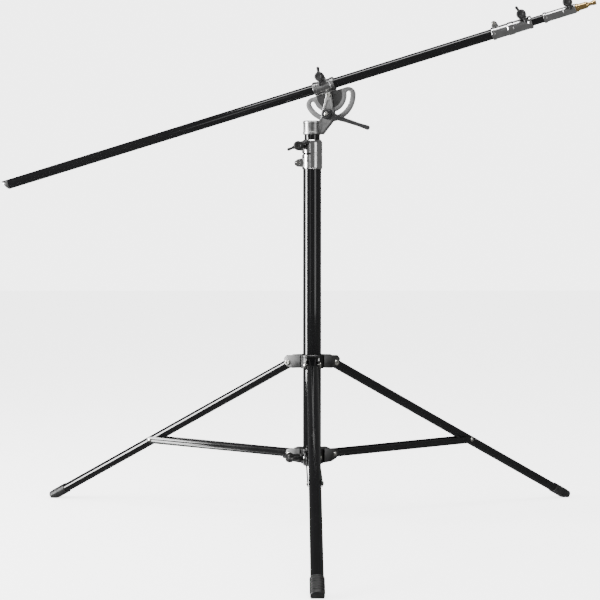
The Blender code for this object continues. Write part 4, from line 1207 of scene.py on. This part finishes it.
@dataclass
class TiltClamp:
    """The slotted tilt disc and the split sleeve on it that grips the boom."""

    disc_r: float = 0.0645
    disc_half: float = 0.0035
    chord: float = 0.0070
    corner: float = 0.0180
    slot_r: float = 0.047
    slot_half: float = 0.0050
    slot_reach: float = 80.0
    boom_rise: float = 0.025
    boom_r: float = 0.0125
    sleeve_r: float = 0.0168
    rear: float = -0.034
    front: float = 0.020
    knob: Point = (-0.009, 0.024)
    knob_turn: float = -8.0
    knob_bar: float = 0.0240
    knob_shank: float = 0.0148

    def build(self, shop: Workshop) -> None:
        """Make and dress every piece."""
        boom = shop.frames.tilt @ shift(0.0, 0.0, self.boom_rise)
        shop.show("tilt_disc_machined", self.disc().baked(shop.frames.tilt), "tilt", Slot.DISC,
                  ["tilt_disc"])
        shop.show("boom_clamp_cast", self.sleeve(shop).baked(boom), "tilt", Slot.GREY, ["boom_clamp"])
        back = shift(self.knob[0], 0.0078, self.knob[1]) @ FACE_BACK
        shop.show("boom_clamp_cap_nut", shop.cap_nut(back).baked(boom), "tilt", Slot.STEEL,
                  ["boom_clamp_nut"])
        seat = shift(self.knob[0], -0.0078, self.knob[1]) @ FACE_FRONT
        shop.knob("boom_knob", "boom_knob",
                  boom @ seat @ Matrix.Rotation(math.radians(self.knob_turn), 4, "Z"),
                  self.knob_bar, self.knob_shank)

    def disc(self) -> Solid:
        """Return the disc: a flat top, an arc slot, a shallow recess and a hub round the pivot."""
        corner_z = self.chord - self.corner
        corner_x = math.sqrt((self.disc_r - self.corner) ** 2 - corner_z ** 2)
        dip = math.degrees(math.atan2(-corner_z, corner_x))
        rim = (arc((0.0, 0.0), self.disc_r, 180.0 + dip, 360.0 - dip, 101)
               + arc((corner_x, corner_z), self.corner, -dip, 90.0, 21)[1:]
               + arc((-corner_x, corner_z), self.corner, 90.0, 180.0 + dip, 21)[:-1])
        slot = (arc((0.0, 0.0), self.slot_r + self.slot_half,
                    -90 - self.slot_reach, -90 + self.slot_reach, 81)
                + self.slot_end(self.slot_reach - 90)[1:-1]
                + arc((0.0, 0.0), self.slot_r - self.slot_half, -90 + self.slot_reach,
                      -90 - self.slot_reach, 81)
                + self.slot_end(-90 - self.slot_reach, far=True)[1:-1])
        disc = Solid.slab([rim, slot], -self.disc_half, self.disc_half, FACE_FRONT).softened(0.0006, 3)
        recess = (arc((0.0, 0.0), 0.0355, -176.0, -4.0, 61) + arc((0.0, 0.0), 0.0125, -14.0, -166.0, 31))
        depth = self.disc_half - 0.0007
        disc.less(Solid.slab([recess], depth, 0.01, FACE_FRONT),
                  Solid.slab([recess], -0.01, -depth, FACE_FRONT))
        return disc.less(pin_hole((0.0, 0.0), 0.0033, 0.01))

    def slot_end(self, angle: float, far: bool = False) -> list[Point]:
        """Return the round end of the slot at an angle in degrees."""
        spoke = math.radians(angle)
        centre = (self.slot_r * math.cos(spoke), self.slot_r * math.sin(spoke))
        first = angle + 180 if far else angle
        return arc(centre, self.slot_half, first, first + 180, 13)

    def sleeve(self, shop: Workshop) -> Solid:
        """Return the split sleeve with its lugs, its bands and the foot on the disc's flat."""
        r, low, high = self.sleeve_r, self.rear, self.front
        body = Solid.turned(rounded([
            (0.0, high, 0.0), (r - 0.0014, high, 0.0006), (r, high - 0.0014, 0.0008),
            (r, high - 0.0085, 0.0006), (r - 0.0011, high - 0.0098, 0.0008),
            (r - 0.0011, low + 0.0098, 0.0008), (r, low + 0.0085, 0.0006), (r, low + 0.0014, 0.0008),
            (r - 0.0014, low, 0.0006), (0.0, low, 0.0)], closed=False, steps=4), ALONG_X, 96)
        chord = self.chord + GAP - self.boom_rise
        half = self.disc_half - 0.0001
        foot = rounded([(low + 0.0060, -0.0120, 0.0), (low + 0.0010, -0.0150, 0.002), (low, chord, 0.0004),
                        (high, chord, 0.0004), (high - 0.0010, -0.0150, 0.002),
                        (high - 0.0060, -0.0120, 0.0)])
        web = Solid.slab([foot], -half, half, FACE_FRONT).softened(0.0005, 2)
        knob_x, knob_z = self.knob
        plate, boss = lug(crowned_lug(knob_x, 0.0085, 0.0115, knob_z + 0.0085), 0.0064, self.knob, 0.0072,
                          0.0075)
        rib = Solid.slab([[(0.0128, -0.0010), (0.0128, 0.0010), (0.0166, 0.0007), (0.0166, -0.0007)]],
                         low + 0.0090, high - 0.0090)
        ribs = shop.around(rib.softened(0.0003, 2), 4, Slot.GREY, start=-45.0, step=30.0, matrix=ALONG_X)
        body.joined(web, plate, boss, ribs)
        return body.less(
            Solid.drill(self.boom_r + GAP, low - 0.01, high + 0.01, ALONG_X),
            Solid.box((low - 0.01, -0.0010, 0.005), (high + 0.01, 0.0010, 0.040)),
            pin_hole(self.knob, 0.0033, 0.010))


# ------------------------------------------------------------------ boom


@dataclass
class Boom:
    """The outer boom tube with its slash-cut cap and the collar at its front."""

    rise: float = 0.025
    radius: float = 0.0125
    wall: float = 0.0015
    inner_r: float = 0.0100
    rear: float = -0.870
    front: float = 0.470
    collar_r: float = 0.0156
    collar_rear: float = 0.420
    collar_front: float = 0.519
    screw: Point = (0.431, 0.0225)
    knob: Point = (0.500, 0.0225)
    knob_turn: float = 20.0
    knob_bar: float = 0.0225
    knob_shank: float = 0.0128
    lug_face: float = 0.0065

    def build(self, shop: Workshop) -> None:
        """Make and dress every piece."""
        place = shop.frames.tilt @ shift(0.0, 0.0, self.rise)
        shop.show("boom_tube_coated", self.tube().baked(place), "boom", Slot.TUBE, ["boom_tube"])
        shop.show("boom_end_cap_bright", self.cap().baked(place), "boom", Slot.BRIGHT, ["boom_end_cap"])
        shop.show("joint_collar_cast", self.collar().baked(place), "boom", Slot.BRIGHT, ["joint_collar"])
        screw_seat = shift(self.screw[0], -self.lug_face - GAP, self.screw[1]) @ FACE_FRONT
        shop.show("joint_collar_socket_screw", shop.socket_screw(screw_seat, 0.0125).baked(place),
                  "boom", Slot.STEEL, ["joint_collar_screw"])
        nut_seat = shift(self.knob[0], self.lug_face + GAP, self.knob[1]) @ FACE_BACK
        shop.show("joint_clamp_cap_nut", shop.cap_nut(nut_seat).baked(place), "boom", Slot.STEEL,
                  ["joint_clamp_nut"])
        seat = shift(self.knob[0], -self.lug_face - GAP, self.knob[1]) @ FACE_FRONT
        shop.knob("joint_knob", "joint_knob",
                  place @ seat @ Matrix.Rotation(math.radians(self.knob_turn), 4, "Z"),
                  self.knob_bar, self.knob_shank)

    def tube(self) -> Solid:
        """Return the outer tube."""
        bore, edge = self.radius - self.wall, 0.0003
        profile = rounded([(bore, self.front, edge), (self.radius, self.front, edge * 2),
                           (self.radius, self.rear, 0.0), (bore, self.rear, edge)], steps=3)
        return Solid.turned(profile, ALONG_X, 112)

    def cap(self) -> Solid:
        """Return the bright cap, cut on the slash, with a solid plug that fits into the tube."""
        rear, bore = self.rear - GAP, self.radius - self.wall
        profile = rounded([(0.0, rear + 0.0250, 0.0), (bore - 0.0010, rear + 0.0250, 0.0005),
                           (bore - GAP, rear + 0.0235, 0.0005), (bore - GAP, rear, 0.0),
                           (self.radius, rear, 0.0002), (self.radius, rear - 0.0200, 0.0),
                           (0.0, rear - 0.0200, 0.0)], closed=False, steps=3)
        slash = Solid.box((-0.060, -0.030, -0.030), (0.0, 0.030, 0.030),
                          shift(rear - 0.0115, 0.0, 0.0) @ Matrix.Rotation(math.radians(-28), 4, "Y"))
        return Solid.turned(profile, ALONG_X, 112).less(slash).softened(0.0007, 3, 50.0)

    def collar(self) -> Solid:
        """Return the collar that clamps the inner tube."""
        r, low, high = self.collar_r, self.collar_rear, self.collar_front
        step = self.front + GAP
        middle = step - 0.003
        body = Solid.turned(rounded([
            (0.0, high, 0.0), (r - 0.0016, high, 0.0006), (r, high - 0.0016, 0.0010),
            (r, high - 0.0075, 0.0006),
            (r - 0.0010, high - 0.0088, 0.0008), (r - 0.0010, middle + 0.0075, 0.0008),
            (r, middle + 0.0060, 0.0006), (r, middle - 0.0060, 0.0006), (r - 0.0010, middle - 0.0075, 0.0008),
            (r - 0.0010, low + 0.0088, 0.0008), (r, low + 0.0075, 0.0006), (r, low + 0.0016, 0.0010),
            (r - 0.0014, low, 0.0006), (0.0, low, 0.0)], closed=False, steps=4), ALONG_X, 96)
        body.joined(*lug(crowned_lug(self.screw[0], 0.0070, 0.0105, self.screw[1] + 0.0065), 0.0056,
                         self.screw, 0.0060, self.lug_face),
                    *lug(crowned_lug(self.knob[0], 0.0080, 0.0105, self.knob[1] + 0.0070), 0.0056,
                         self.knob, 0.0068, self.lug_face))
        return body.less(
            Solid.box((low - 0.01, -0.0008, 0.006), (middle - 0.010, 0.0008, 0.040)),
            Solid.box((middle + 0.008, -0.0010, 0.006), (high + 0.01, 0.0010, 0.040)),
            Solid.drill(self.radius + GAP, low - 0.01, step, ALONG_X),
            Solid.drill(self.inner_r + GAP, step - 0.01, high + 0.01, ALONG_X),
            pin_hole(self.screw, 0.0027, 0.010), pin_hole(self.knob, 0.0033, 0.010))


@dataclass
class BoomInner:
    """The sliding inner boom tube, the bright clamp on its end and the brass spigot."""

    rise: float = 0.025
    radius: float = 0.0100
    wall: float = 0.0015
    rear: float = -0.200
    front: float = 0.562
    clamp_rear: float = 0.547
    clamp_front: float = 0.625
    spigot_r: float = 0.0080
    spigot_tip: float = 0.674
    knob: Point = (0.611, 0.0175)
    knob_turn: float = 12.0
    knob_bar: float = 0.0205
    knob_shank: float = 0.0130
    lug_face: float = 0.0066

    def build(self, shop: Workshop) -> None:
        """Make and dress every piece."""
        place = shop.frames.tilt @ shift(0.0, 0.0, self.rise)
        bore, edge = self.radius - self.wall, 0.0003
        profile = rounded([(bore, self.front, edge), (self.radius, self.front, edge * 2),
                           (self.radius, self.rear, edge * 2), (bore, self.rear, edge)], steps=3)
        shop.show("boom_inner_tube_coated", Solid.turned(profile, ALONG_X, 96).baked(place),
                  "boom_inner", Slot.TUBE, ["boom_inner_tube"])
        shop.show("end_clamp_cast", self.clamp().baked(place), "boom_inner", Slot.BRIGHT, ["end_clamp"])
        nut_seat = shift(self.knob[0], self.lug_face + GAP, self.knob[1]) @ FACE_BACK
        shop.show("end_clamp_cap_nut", shop.cap_nut(nut_seat).baked(place), "boom_inner", Slot.STEEL,
                  ["end_clamp_nut"])
        seat = shift(self.knob[0], -self.lug_face - GAP, self.knob[1]) @ FACE_FRONT
        shop.knob("end_knob", "end_knob",
                  place @ seat @ Matrix.Rotation(math.radians(self.knob_turn), 4, "Z"),
                  self.knob_bar, self.knob_shank)
        shop.show("spigot_turned", self.spigot().baked(place), "spigot", Slot.BRASS, ["spigot"])

    def clamp(self) -> Solid:
        """Return the clamp that holds the spigot."""
        low, high, step = self.clamp_rear, self.clamp_front, self.front + GAP
        body = Solid.turned(rounded([
            (0.0, high, 0.0), (0.0102, high, 0.0004), (0.0112, high - 0.0010, 0.0006),
            (0.0112, high - 0.0290, 0.0004), (0.0107, high - 0.0296, 0.0), (0.0112, high - 0.0302, 0.0004),
            (0.0112, low + 0.0085, 0.0012), (0.0128, low + 0.0068, 0.0006), (0.0128, low + 0.0010, 0.0006),
            (0.0120, low, 0.0004), (0.0, low, 0.0)], closed=False, steps=4), ALONG_X, 96)
        body.joined(*lug(crowned_lug(self.knob[0], 0.0066, 0.0070, self.knob[1] + 0.0065), 0.0056,
                         self.knob, 0.0062, self.lug_face))
        return body.less(
            Solid.box((0.5925, -0.0009, 0.0045), (high + 0.01, 0.0009, 0.030)),
            Solid.drill(self.radius + GAP, low - 0.01, step, ALONG_X),
            Solid.drill(self.spigot_r + GAP, step - 0.01, high + 0.01, ALONG_X),
            pin_hole(self.knob, 0.0033, 0.010))

    def spigot(self) -> Solid:
        """Return the turned spigot with its shoulder, neck and rounded tip."""
        tip, r, shoulder = self.spigot_tip, self.spigot_r, self.clamp_front + GAP
        tail = self.clamp_front - 0.053
        return Solid.turned(rounded([
            (0.0, tip - 0.0004, 0.0), (0.0022, tip - 0.0004, 0.0002), (0.0026, tip, 0.0003),
            (0.0052, tip, 0.0006), (0.0060, tip - 0.0010, 0.0006), (0.0060, tip - 0.0075, 0.0008),
            (0.0048, tip - 0.0098, 0.0012), (0.0048, tip - 0.0180, 0.0016), (r, tip - 0.0232, 0.0008),
            (r, shoulder + 0.0070, 0.0008), (0.0098, shoulder + 0.0052, 0.0006),
            (0.0098, shoulder, 0.0004), (r, shoulder, 0.0), (r, tail + 0.001, 0.0006),
            (r - 0.001, tail, 0.0004), (0.0, tail, 0.0)], closed=False, steps=4), ALONG_X, 96)


# ------------------------------------------------------------------ tripod


@dataclass
class Tripod:
    """The fixed leg collar, the sliding brace collar, and the three legs and their braces."""

    legs: tuple[str, ...] = ("front", "right", "left")
    first_azimuth: float = -90.0
    column_r: float = 0.0225
    leg_pivot_r: float = 0.060
    leg_slope: float = 28.0
    half_width: float = 0.0140
    half_height: float = 0.0110
    wall: float = 0.0016
    heel: float = 0.012
    length: float = 0.826
    foot_half_width: float = 0.0160
    foot_half_height: float = 0.0130
    foot_start: float = 0.792
    foot_end: float = 0.846
    brace_pivot_r: float = 0.055
    joint_on_leg: float = 0.4717
    bar_in: float = 0.0146
    bar_out: float = 0.0168
    bar_half: float = 0.0085
    knob_azimuth: float = 210.0
    knob_z: float = 0.1715

    def build(self, shop: Workshop) -> None:
        """Make and dress every piece."""
        column = shop.frames.column
        shop.show("leg_collar_cast", self.leg_collar(shop).baked(column), "column", Slot.TRIPOD,
                  ["leg_collar"])
        pivot_z = shop.frames.place_of("leg_front_fold").z
        bolt = shop.through_bolt(0.0176 + GAP, 0.0040, 0.0070, 0.0034)
        bolt.shape.data.transform(shift(self.leg_pivot_r, 0.0, pivot_z) @ FACE_FRONT)
        bolts = shop.around(bolt, 3, Slot.STEEL, start=self.first_azimuth)
        shop.show("leg_pivot_bolts_domed", bolts.baked(column), "column", Slot.STEEL,
                  [f"leg_{leg}_pivot_bolt" for leg in self.legs])
        self.sliding_collar(shop)
        for leg in self.legs:
            self.leg(shop, leg)
            self.brace(shop, leg)

    def forks(self, shop: Workshop, ear: Sequence[Point], hole: Point, hole_r: float, web: float,
              ear_in: float, ear_out: float) -> Solid:
        """Return a collar's three forks, each a pair of ears with a hinge hole.

        Args:
            shop: the workshop.
            ear: outline of an ear, out along X and up along Y.
            hole: place of the hinge hole.
            hole_r: radius of the hinge hole.
            web: where the slot between the ears starts.
            ear_in: inner face of an ear from the middle.
            ear_out: outer face of an ear from the middle.

        Returns:
            The forks as one solid in the column's frame.
        """
        fork = Solid.slab([ear], -ear_out, ear_out, FACE_FRONT).softened(0.0009, 3)
        fork.less(Solid.box((web, -ear_in, 0.0), (0.20, ear_in, 0.60)), pin_hole(hole, hole_r, 0.03))
        mesh = fork.baked(Matrix.Identity(4))
        return shop.around(Solid(mesh), 3, Slot.TRIPOD, start=self.first_azimuth)

    def ring(self, low: float, high: float) -> Solid:
        """Return a collar's ring with a raised band at its top and bottom."""
        r = 0.0290
        return Solid.turned(rounded([
            (0.0, high, 0.0), (r - 0.0014, high, 0.0006), (r, high - 0.0016, 0.0010),
            (r, high - 0.0055, 0.0005),
            (r - 0.0008, high - 0.0064, 0.0006), (r - 0.0008, low + 0.0064, 0.0006),
            (r, low + 0.0055, 0.0005), (r, low + 0.0012, 0.0008), (r - 0.0010, low, 0.0005),
            (0.0, low, 0.0)], closed=False, steps=4), sides=128)

    def leg_collar(self, shop: Workshop) -> Solid:
        """Return the fixed collar that the legs hinge on."""
        low, high = (corner.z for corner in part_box("leg_collar"))
        low += 0.0010
        ear = rounded([(0.0240, low + 0.0006, 0.0), (0.0460, low - 0.0010, 0.01),
                       (0.0600, low + 0.0005, 0.012),
                       (0.0690, low + 0.0095, 0.008), (0.0710, low + 0.0225, 0.004),
                       (0.0640, low + 0.0305, 0.006), (0.0240, high - 0.0012, 0.0)])
        hinge = (self.leg_pivot_r, shop.frames.place_of("leg_front_fold").z)
        collar = self.ring(low, high).joined(self.forks(shop, ear, hinge, 0.0043, 0.0405, 0.0143, 0.0176))
        return collar.less(Solid.drill(self.column_r + GAP, low - 0.02, high + 0.02))

    def sliding_collar(self, shop: Workshop) -> None:
        """Make the collar that the braces hinge on, with its knob and pins."""
        column = shop.frames.column
        low, high = (corner.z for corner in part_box("brace_collar"))
        ear = rounded([(0.0240, low + 0.0006, 0.0), (0.0440, low + 0.0027, 0.01),
                       (0.0600, low + 0.0102, 0.01),
                       (0.0648, low + 0.0202, 0.006), (0.0622, low + 0.0314, 0.006),
                       (0.0500, low + 0.0357, 0.008), (0.0240, high - 0.0012, 0.0)])
        pivot_z = shop.frames.place_of("brace_front_swing").z
        hinge = (self.brace_pivot_r, pivot_z)
        knob_frame = shift(0.0, 0.0, self.knob_z) @ Matrix.Rotation(math.radians(self.knob_azimuth), 4, "Z")
        boss = rounded([(0.0, 0.0370, 0.0), (0.0082, 0.0370, 0.0006), (0.0090, 0.0356, 0.0010),
                        (0.0096, 0.0235, 0.0), (0.0, 0.0235, 0.0)], closed=False, steps=3)
        collar = self.ring(low, high)
        collar.joined(self.forks(shop, ear, hinge, 0.0033, 0.0420, 0.0171, 0.0200),
                      Solid.turned(boss, knob_frame @ ALONG_X, 64))
        collar.less(Solid.drill(self.column_r + GAP, low - 0.02, high + 0.02),
                    Solid.drill(0.0033, 0.0, 0.05, knob_frame @ ALONG_X, 40))
        shop.show("brace_collar_cast", collar.baked(column), "brace_collar", Slot.TRIPOD, ["brace_collar"])
        near = self.rivet(0.0200 + GAP, shift(self.brace_pivot_r, 0.0, pivot_z) @ FACE_FRONT)
        far = self.rivet(0.0200 + GAP, shift(self.brace_pivot_r, 0.0, pivot_z) @ FACE_BACK)
        pair = Solid(merged([near.baked(Matrix.Identity(4)), far.baked(Matrix.Identity(4))]))
        pins = shop.around(pair, 3, Slot.STEEL, start=self.first_azimuth)
        shop.show("brace_pins_domed", pins.baked(column), "brace_collar", Slot.STEEL,
                  [f"brace_{leg}_pin_{side}" for leg in self.legs for side in ("near", "far")])
        shop.knob("collar_knob", "collar_knob",
                  column @ knob_frame @ shift(0.0370 + GAP, 0.0, 0.0) @ ALONG_X, 0.0250, 0.0140,
                  stem=0.0160)

    def rivet(self, seat: float, matrix: Matrix) -> Solid:
        """Return a domed rivet with its head above a seat on local Z."""
        top = seat + 0.0028
        profile = rounded([(0.0, top, 0.0), (0.0020, top - 0.0001, 0.001), (0.0044, top - 0.0011, 0.0016),
                           (0.0053, seat + 0.0004, 0.0004), (0.0053, seat, 0.0), (0.0030, seat, 0.0),
                           (0.0030, self.bar_in + 0.0002, 0.0), (0.0, self.bar_in + 0.0002, 0.0)],
                          closed=False, steps=4)
        return Solid.turned(profile, matrix, 40)

    def leg(self, shop: Workshop, leg: str) -> None:
        """Make one leg's oval tube and its ribbed foot."""
        place = shop.frames.hinged(f"leg_{leg}_fold", self.leg_slope)
        body = f"leg_{leg}"
        skin = shop.sweep.bake(Start=-self.heel, End=self.length, Width=2 * self.half_width,
                               Height=2 * self.half_height, Corner=self.half_height - 0.00002,
                               Finish=shop.finishes[Slot.TUBE])
        bm = bmesh.new()
        bm.from_mesh(skin)
        bmesh.ops.recalc_face_normals(bm, faces=bm.faces)
        bm.to_mesh(skin)
        bm.free()
        tube = Solid(skin)
        wall = tube.shape.modifiers.new("wall", "SOLIDIFY")
        wall.thickness = self.wall
        wall.offset = -1.0
        tube.softened(0.0003, 2, 60.0)
        tube.less(Solid.drill(0.0043, -0.03, 0.03, FACE_FRONT, 40))
        shop.show(f"leg_{leg}_tube_coated", tube.baked(place), body, Slot.TUBE, [f"leg_{leg}_tube"])

        skirt = Solid.slab([oval(self.foot_half_width - 0.0009, self.foot_half_height - 0.0009)],
                           self.foot_start, self.foot_end, ALONG_X).softened(0.0016, 4)
        rib = Solid.slab([oval(self.foot_half_width, self.foot_half_height)], self.foot_start,
                         self.foot_start + 0.0030).softened(0.0006, 2)
        ribs = shop.along(rib, 6, 0.0080, Slot.RUBBER, ALONG_X)
        socket = Solid.slab([oval(self.half_width + GAP, self.half_height + GAP)], self.foot_start - 0.01,
                            self.length + GAP, ALONG_X)
        floor = Solid.box((-2.0, -2.0, -0.5), (2.0, 2.0, 0.0), place.inverted())
        boot = skirt.joined(ribs).less(socket, floor)
        shop.show(f"leg_{leg}_foot_moulded", boot.baked(place), body, Slot.RUBBER, [f"leg_{leg}_foot"])

    def brace(self, shop: Workshop, leg: str) -> None:
        """Make one brace: two flat bars that pass either side of the leg, and their rivets."""
        leg_pivot = shop.frames.place_of(f"leg_{leg}_fold")
        pivot = shop.frames.place_of(f"brace_{leg}_swing")
        slope = math.radians(self.leg_slope)
        reach = self.leg_pivot_r + self.joint_on_leg * math.cos(slope) - self.brace_pivot_r
        rise = leg_pivot.z - self.joint_on_leg * math.sin(slope) - pivot.z
        length = math.hypot(reach, rise)
        place = shop.frames.hinged(f"brace_{leg}_swing", -math.degrees(math.atan2(rise, reach)))
        ends = (arc((length, 0.0), self.bar_half, -90.0, 90.0, 25)
                + arc((0.0, 0.0), self.bar_half, 90.0, 270.0, 25))
        holes = [round_hole((0.0, 0.0), 0.0033), round_hole((length, 0.0), 0.0031)]
        bars, rivets = [], []
        for facing in (FACE_FRONT, FACE_BACK):
            bar = Solid.slab([ends, *holes], self.bar_in, self.bar_out, facing).softened(0.0005, 3)
            bars.append(bar.baked(Matrix.Identity(4)))
            rivets.append(
                self.rivet(self.bar_out, shift(length, 0.0, 0.0) @ facing).baked(Matrix.Identity(4)))
        body = f"brace_{leg}"
        both = merged(bars)
        both.transform(place)
        shop.show(f"brace_{leg}_bars_coated", both, body, Slot.BRACE,
                  [f"brace_{leg}_bar_near", f"brace_{leg}_bar_far"])
        heads = merged(rivets)
        heads.transform(place)
        shop.show(f"brace_{leg}_rivets_domed", heads, body, Slot.STEEL)


# ------------------------------------------------------------------ studio


@dataclass
class Studio:
    """The pale floor, the soft lights and the camera."""

    camera_at: tuple[float, float, float] = (-0.0145, -3.9961, 0.788)
    pitch: float = -3.136
    yaw: float = -0.384
    lens: float = 102.16
    room: float = 1.6
    reflected: float = 0.18
    backdrop: float = 4.5
    floor_glow: float = 2.7

    def build(self) -> None:
        """Make everything that isn't part of the stand."""
        self.world()
        self.floor()
        self.light("side_strip", (-3.2, -0.4, 1.0), (0.0, 0.2, 0.8), (1.0, 2.6), 400.0)
        self.light("right_panel", (2.6, -2.9, 1.3), (0.0, 0.2, 0.7), (1.5, 2.2), 26.0)
        self.light("left_fill", (-1.7, -3.4, 1.2), (0.0, 0.2, 0.7), (0.35, 2.0), 4.0)
        self.light("overhead", (0.0, -0.6, 3.4), (0.0, 0.3, 0.6), (3.0, 0.70), 80.0)
        data = bpy.data.cameras.new("camera")
        data.lens, data.sensor_width = self.lens, 36.0
        camera = bpy.data.objects.new("camera", data)
        bpy.context.scene.collection.objects.link(camera)
        camera.location = self.camera_at
        camera.rotation_euler = (math.radians(90.0 + self.pitch), 0.0, math.radians(self.yaw))
        bpy.context.scene.camera = camera

    def light(self, name: str, at: Sequence[float], target: Sequence[float], size: Point,
              power: float) -> None:
        """Add a soft rectangular light aimed at a point."""
        data = bpy.data.lights.new(name, "AREA")
        data.shape = "RECTANGLE"
        data.size, data.size_y = size
        data.energy = power
        lamp = bpy.data.objects.new(name, data)
        bpy.context.scene.collection.objects.link(lamp)
        lamp.location = at
        lamp.rotation_euler = (Vector(target) - Vector(at)).to_track_quat("-Z", "Y").to_euler()

    def world(self) -> None:
        """Set a white world: bright to the camera, dark in reflections, and even in diffuse light."""
        world = bpy.data.worlds.new("studio")
        bpy.context.scene.world = world
        world.use_nodes = True
        nodes, links = world.node_tree.nodes, world.node_tree.links
        background = nodes["Background"]
        path = nodes.new("ShaderNodeLightPath")
        seen = self.strength(nodes, links, path.outputs["Is Glossy Ray"], self.room, self.reflected)
        shown = self.strength(nodes, links, path.outputs["Is Camera Ray"], seen, self.backdrop)
        links.new(shown, background.inputs["Strength"])
        background.inputs["Color"].default_value = (1.0, 1.0, 1.0, 1.0)

    @staticmethod
    def strength(nodes: bpy.types.Nodes, links: bpy.types.NodeLinks, switch: bpy.types.NodeSocket,
                 otherwise, value: float) -> bpy.types.NodeSocket:
        """Return one strength for the rays that a switch picks, and another for the rest."""
        pick = nodes.new("ShaderNodeMix")
        links.new(switch, pick.inputs[0])
        if isinstance(otherwise, bpy.types.NodeSocket):
            links.new(otherwise, pick.inputs[2])
        else:
            pick.inputs[2].default_value = otherwise
        pick.inputs[3].default_value = value
        return pick.outputs[0]

    def floor(self) -> None:
        """Make the pale floor."""
        surface = Surface("floor_paint", (0.86, 0.86, 0.86), 0.8, 0.0)
        mottled = surface.noise(surface.place(), 3.0, 2.0)
        surface.tint(surface.blend(mottled, (0.85, 0.85, 0.85), (0.88, 0.88, 0.88)))
        surface.shader.inputs["Emission Color"].default_value = (1.0, 1.0, 1.0, 1.0)
        surface.shader.inputs["Emission Strength"].default_value = self.floor_glow
        mesh = bpy.data.meshes.new("floor")
        bm = bmesh.new()
        bmesh.ops.create_grid(bm, x_segments=2, y_segments=2, size=12.0)
        bmesh.ops.translate(bm, verts=bm.verts, vec=(0.0, 0.0, -0.0004))
        bm.to_mesh(mesh)
        bm.free()
        mesh.materials.append(surface.material)
        ground = bpy.data.objects.new("floor", mesh)
        bpy.context.scene.collection.objects.link(ground)
        ground.visible_glossy = False


def make_finishes(frames: Frames) -> dict[Slot, bpy.types.Material]:
    """Build one material for each of the record's slots."""
    boom_axis = frames.tilt @ shift(0.0, 0.0, 0.025) @ ALONG_X
    disc_axis = frames.tilt @ FACE_FRONT
    return {
        Slot.TUBE: BlackCoat("gloss_black_tube").material(),
        Slot.BRACE: BlackCoat("gloss_black_bar", gloss=0.20).material(),
        Slot.BRIGHT: BrightCasting("polished_casting").material(),
        Slot.GREY: GreyCasting("satin_grey_casting").material(),
        Slot.TRIPOD: GreyCasting("tripod_casting", (0.075, 0.075, 0.075),
                                  (0.24, 0.24, 0.24), 0.38).material(),
        # 0.0325 is the radius of the painted shade on the disc's inner part, under the clamp
        Slot.DISC: TurnedMetal("satin_disc", (0.46, 0.46, 0.46), 0.34, tuple(disc_axis.translation),
                               tuple(disc_axis.to_euler()), False, 0.0325).material(),
        Slot.PLASTIC: Moulded("knob_plastic", (0.0040, 0.0040, 0.0042), 0.38).material(),
        Slot.STEEL: PlatedSteel("plated_steel").material(),
        Slot.BRASS: TurnedMetal("brass", (0.80, 0.55, 0.22), 0.20, tuple(boom_axis.translation),
                                tuple(boom_axis.to_euler()), True).material(),
        Slot.RUBBER: Moulded("foot_rubber", (0.0035, 0.0035, 0.0035), 0.42, 900.0, 0.00016).material(),
        Slot.PLUG: Moulded("plug_plastic", (0.0060, 0.0060, 0.0060), 0.45).material(),
        Slot.GUIDE: Moulded("guide_plastic", (0.50, 0.50, 0.47), 0.48).material(),
    }


def dress_guides(finish: bpy.types.Material) -> None:
    """Give the guide bushes, which stay as the frame has them, their moulded finish."""
    for name in ("column_guide_bush", "riser_guide", "boom_guide_bush"):
        bush = frame["nodes"][name]
        bush.data.materials.clear()
        bush.data.materials.append(finish)
        LOG.info("%s: frame piece in moulded plastic", name)


def main() -> None:
    """Build every sub-assembly around the frame, then the studio."""
    logging.basicConfig(level=logging.INFO, format="%(message)s")
    frames = Frames(frame["joints"])
    shop = Workshop(frames, make_finishes(frames))
    for assembly in (Column(), Riser(), TiltHead(), TiltClamp(), Boom(), BoomInner(), Tripod()):
        LOG.info("building %s", type(assembly).__name__)
        assembly.build(shop)
    dress_guides(shop.finishes[Slot.GUIDE])
    Studio().build()


if __name__ == "__main__":
    main()
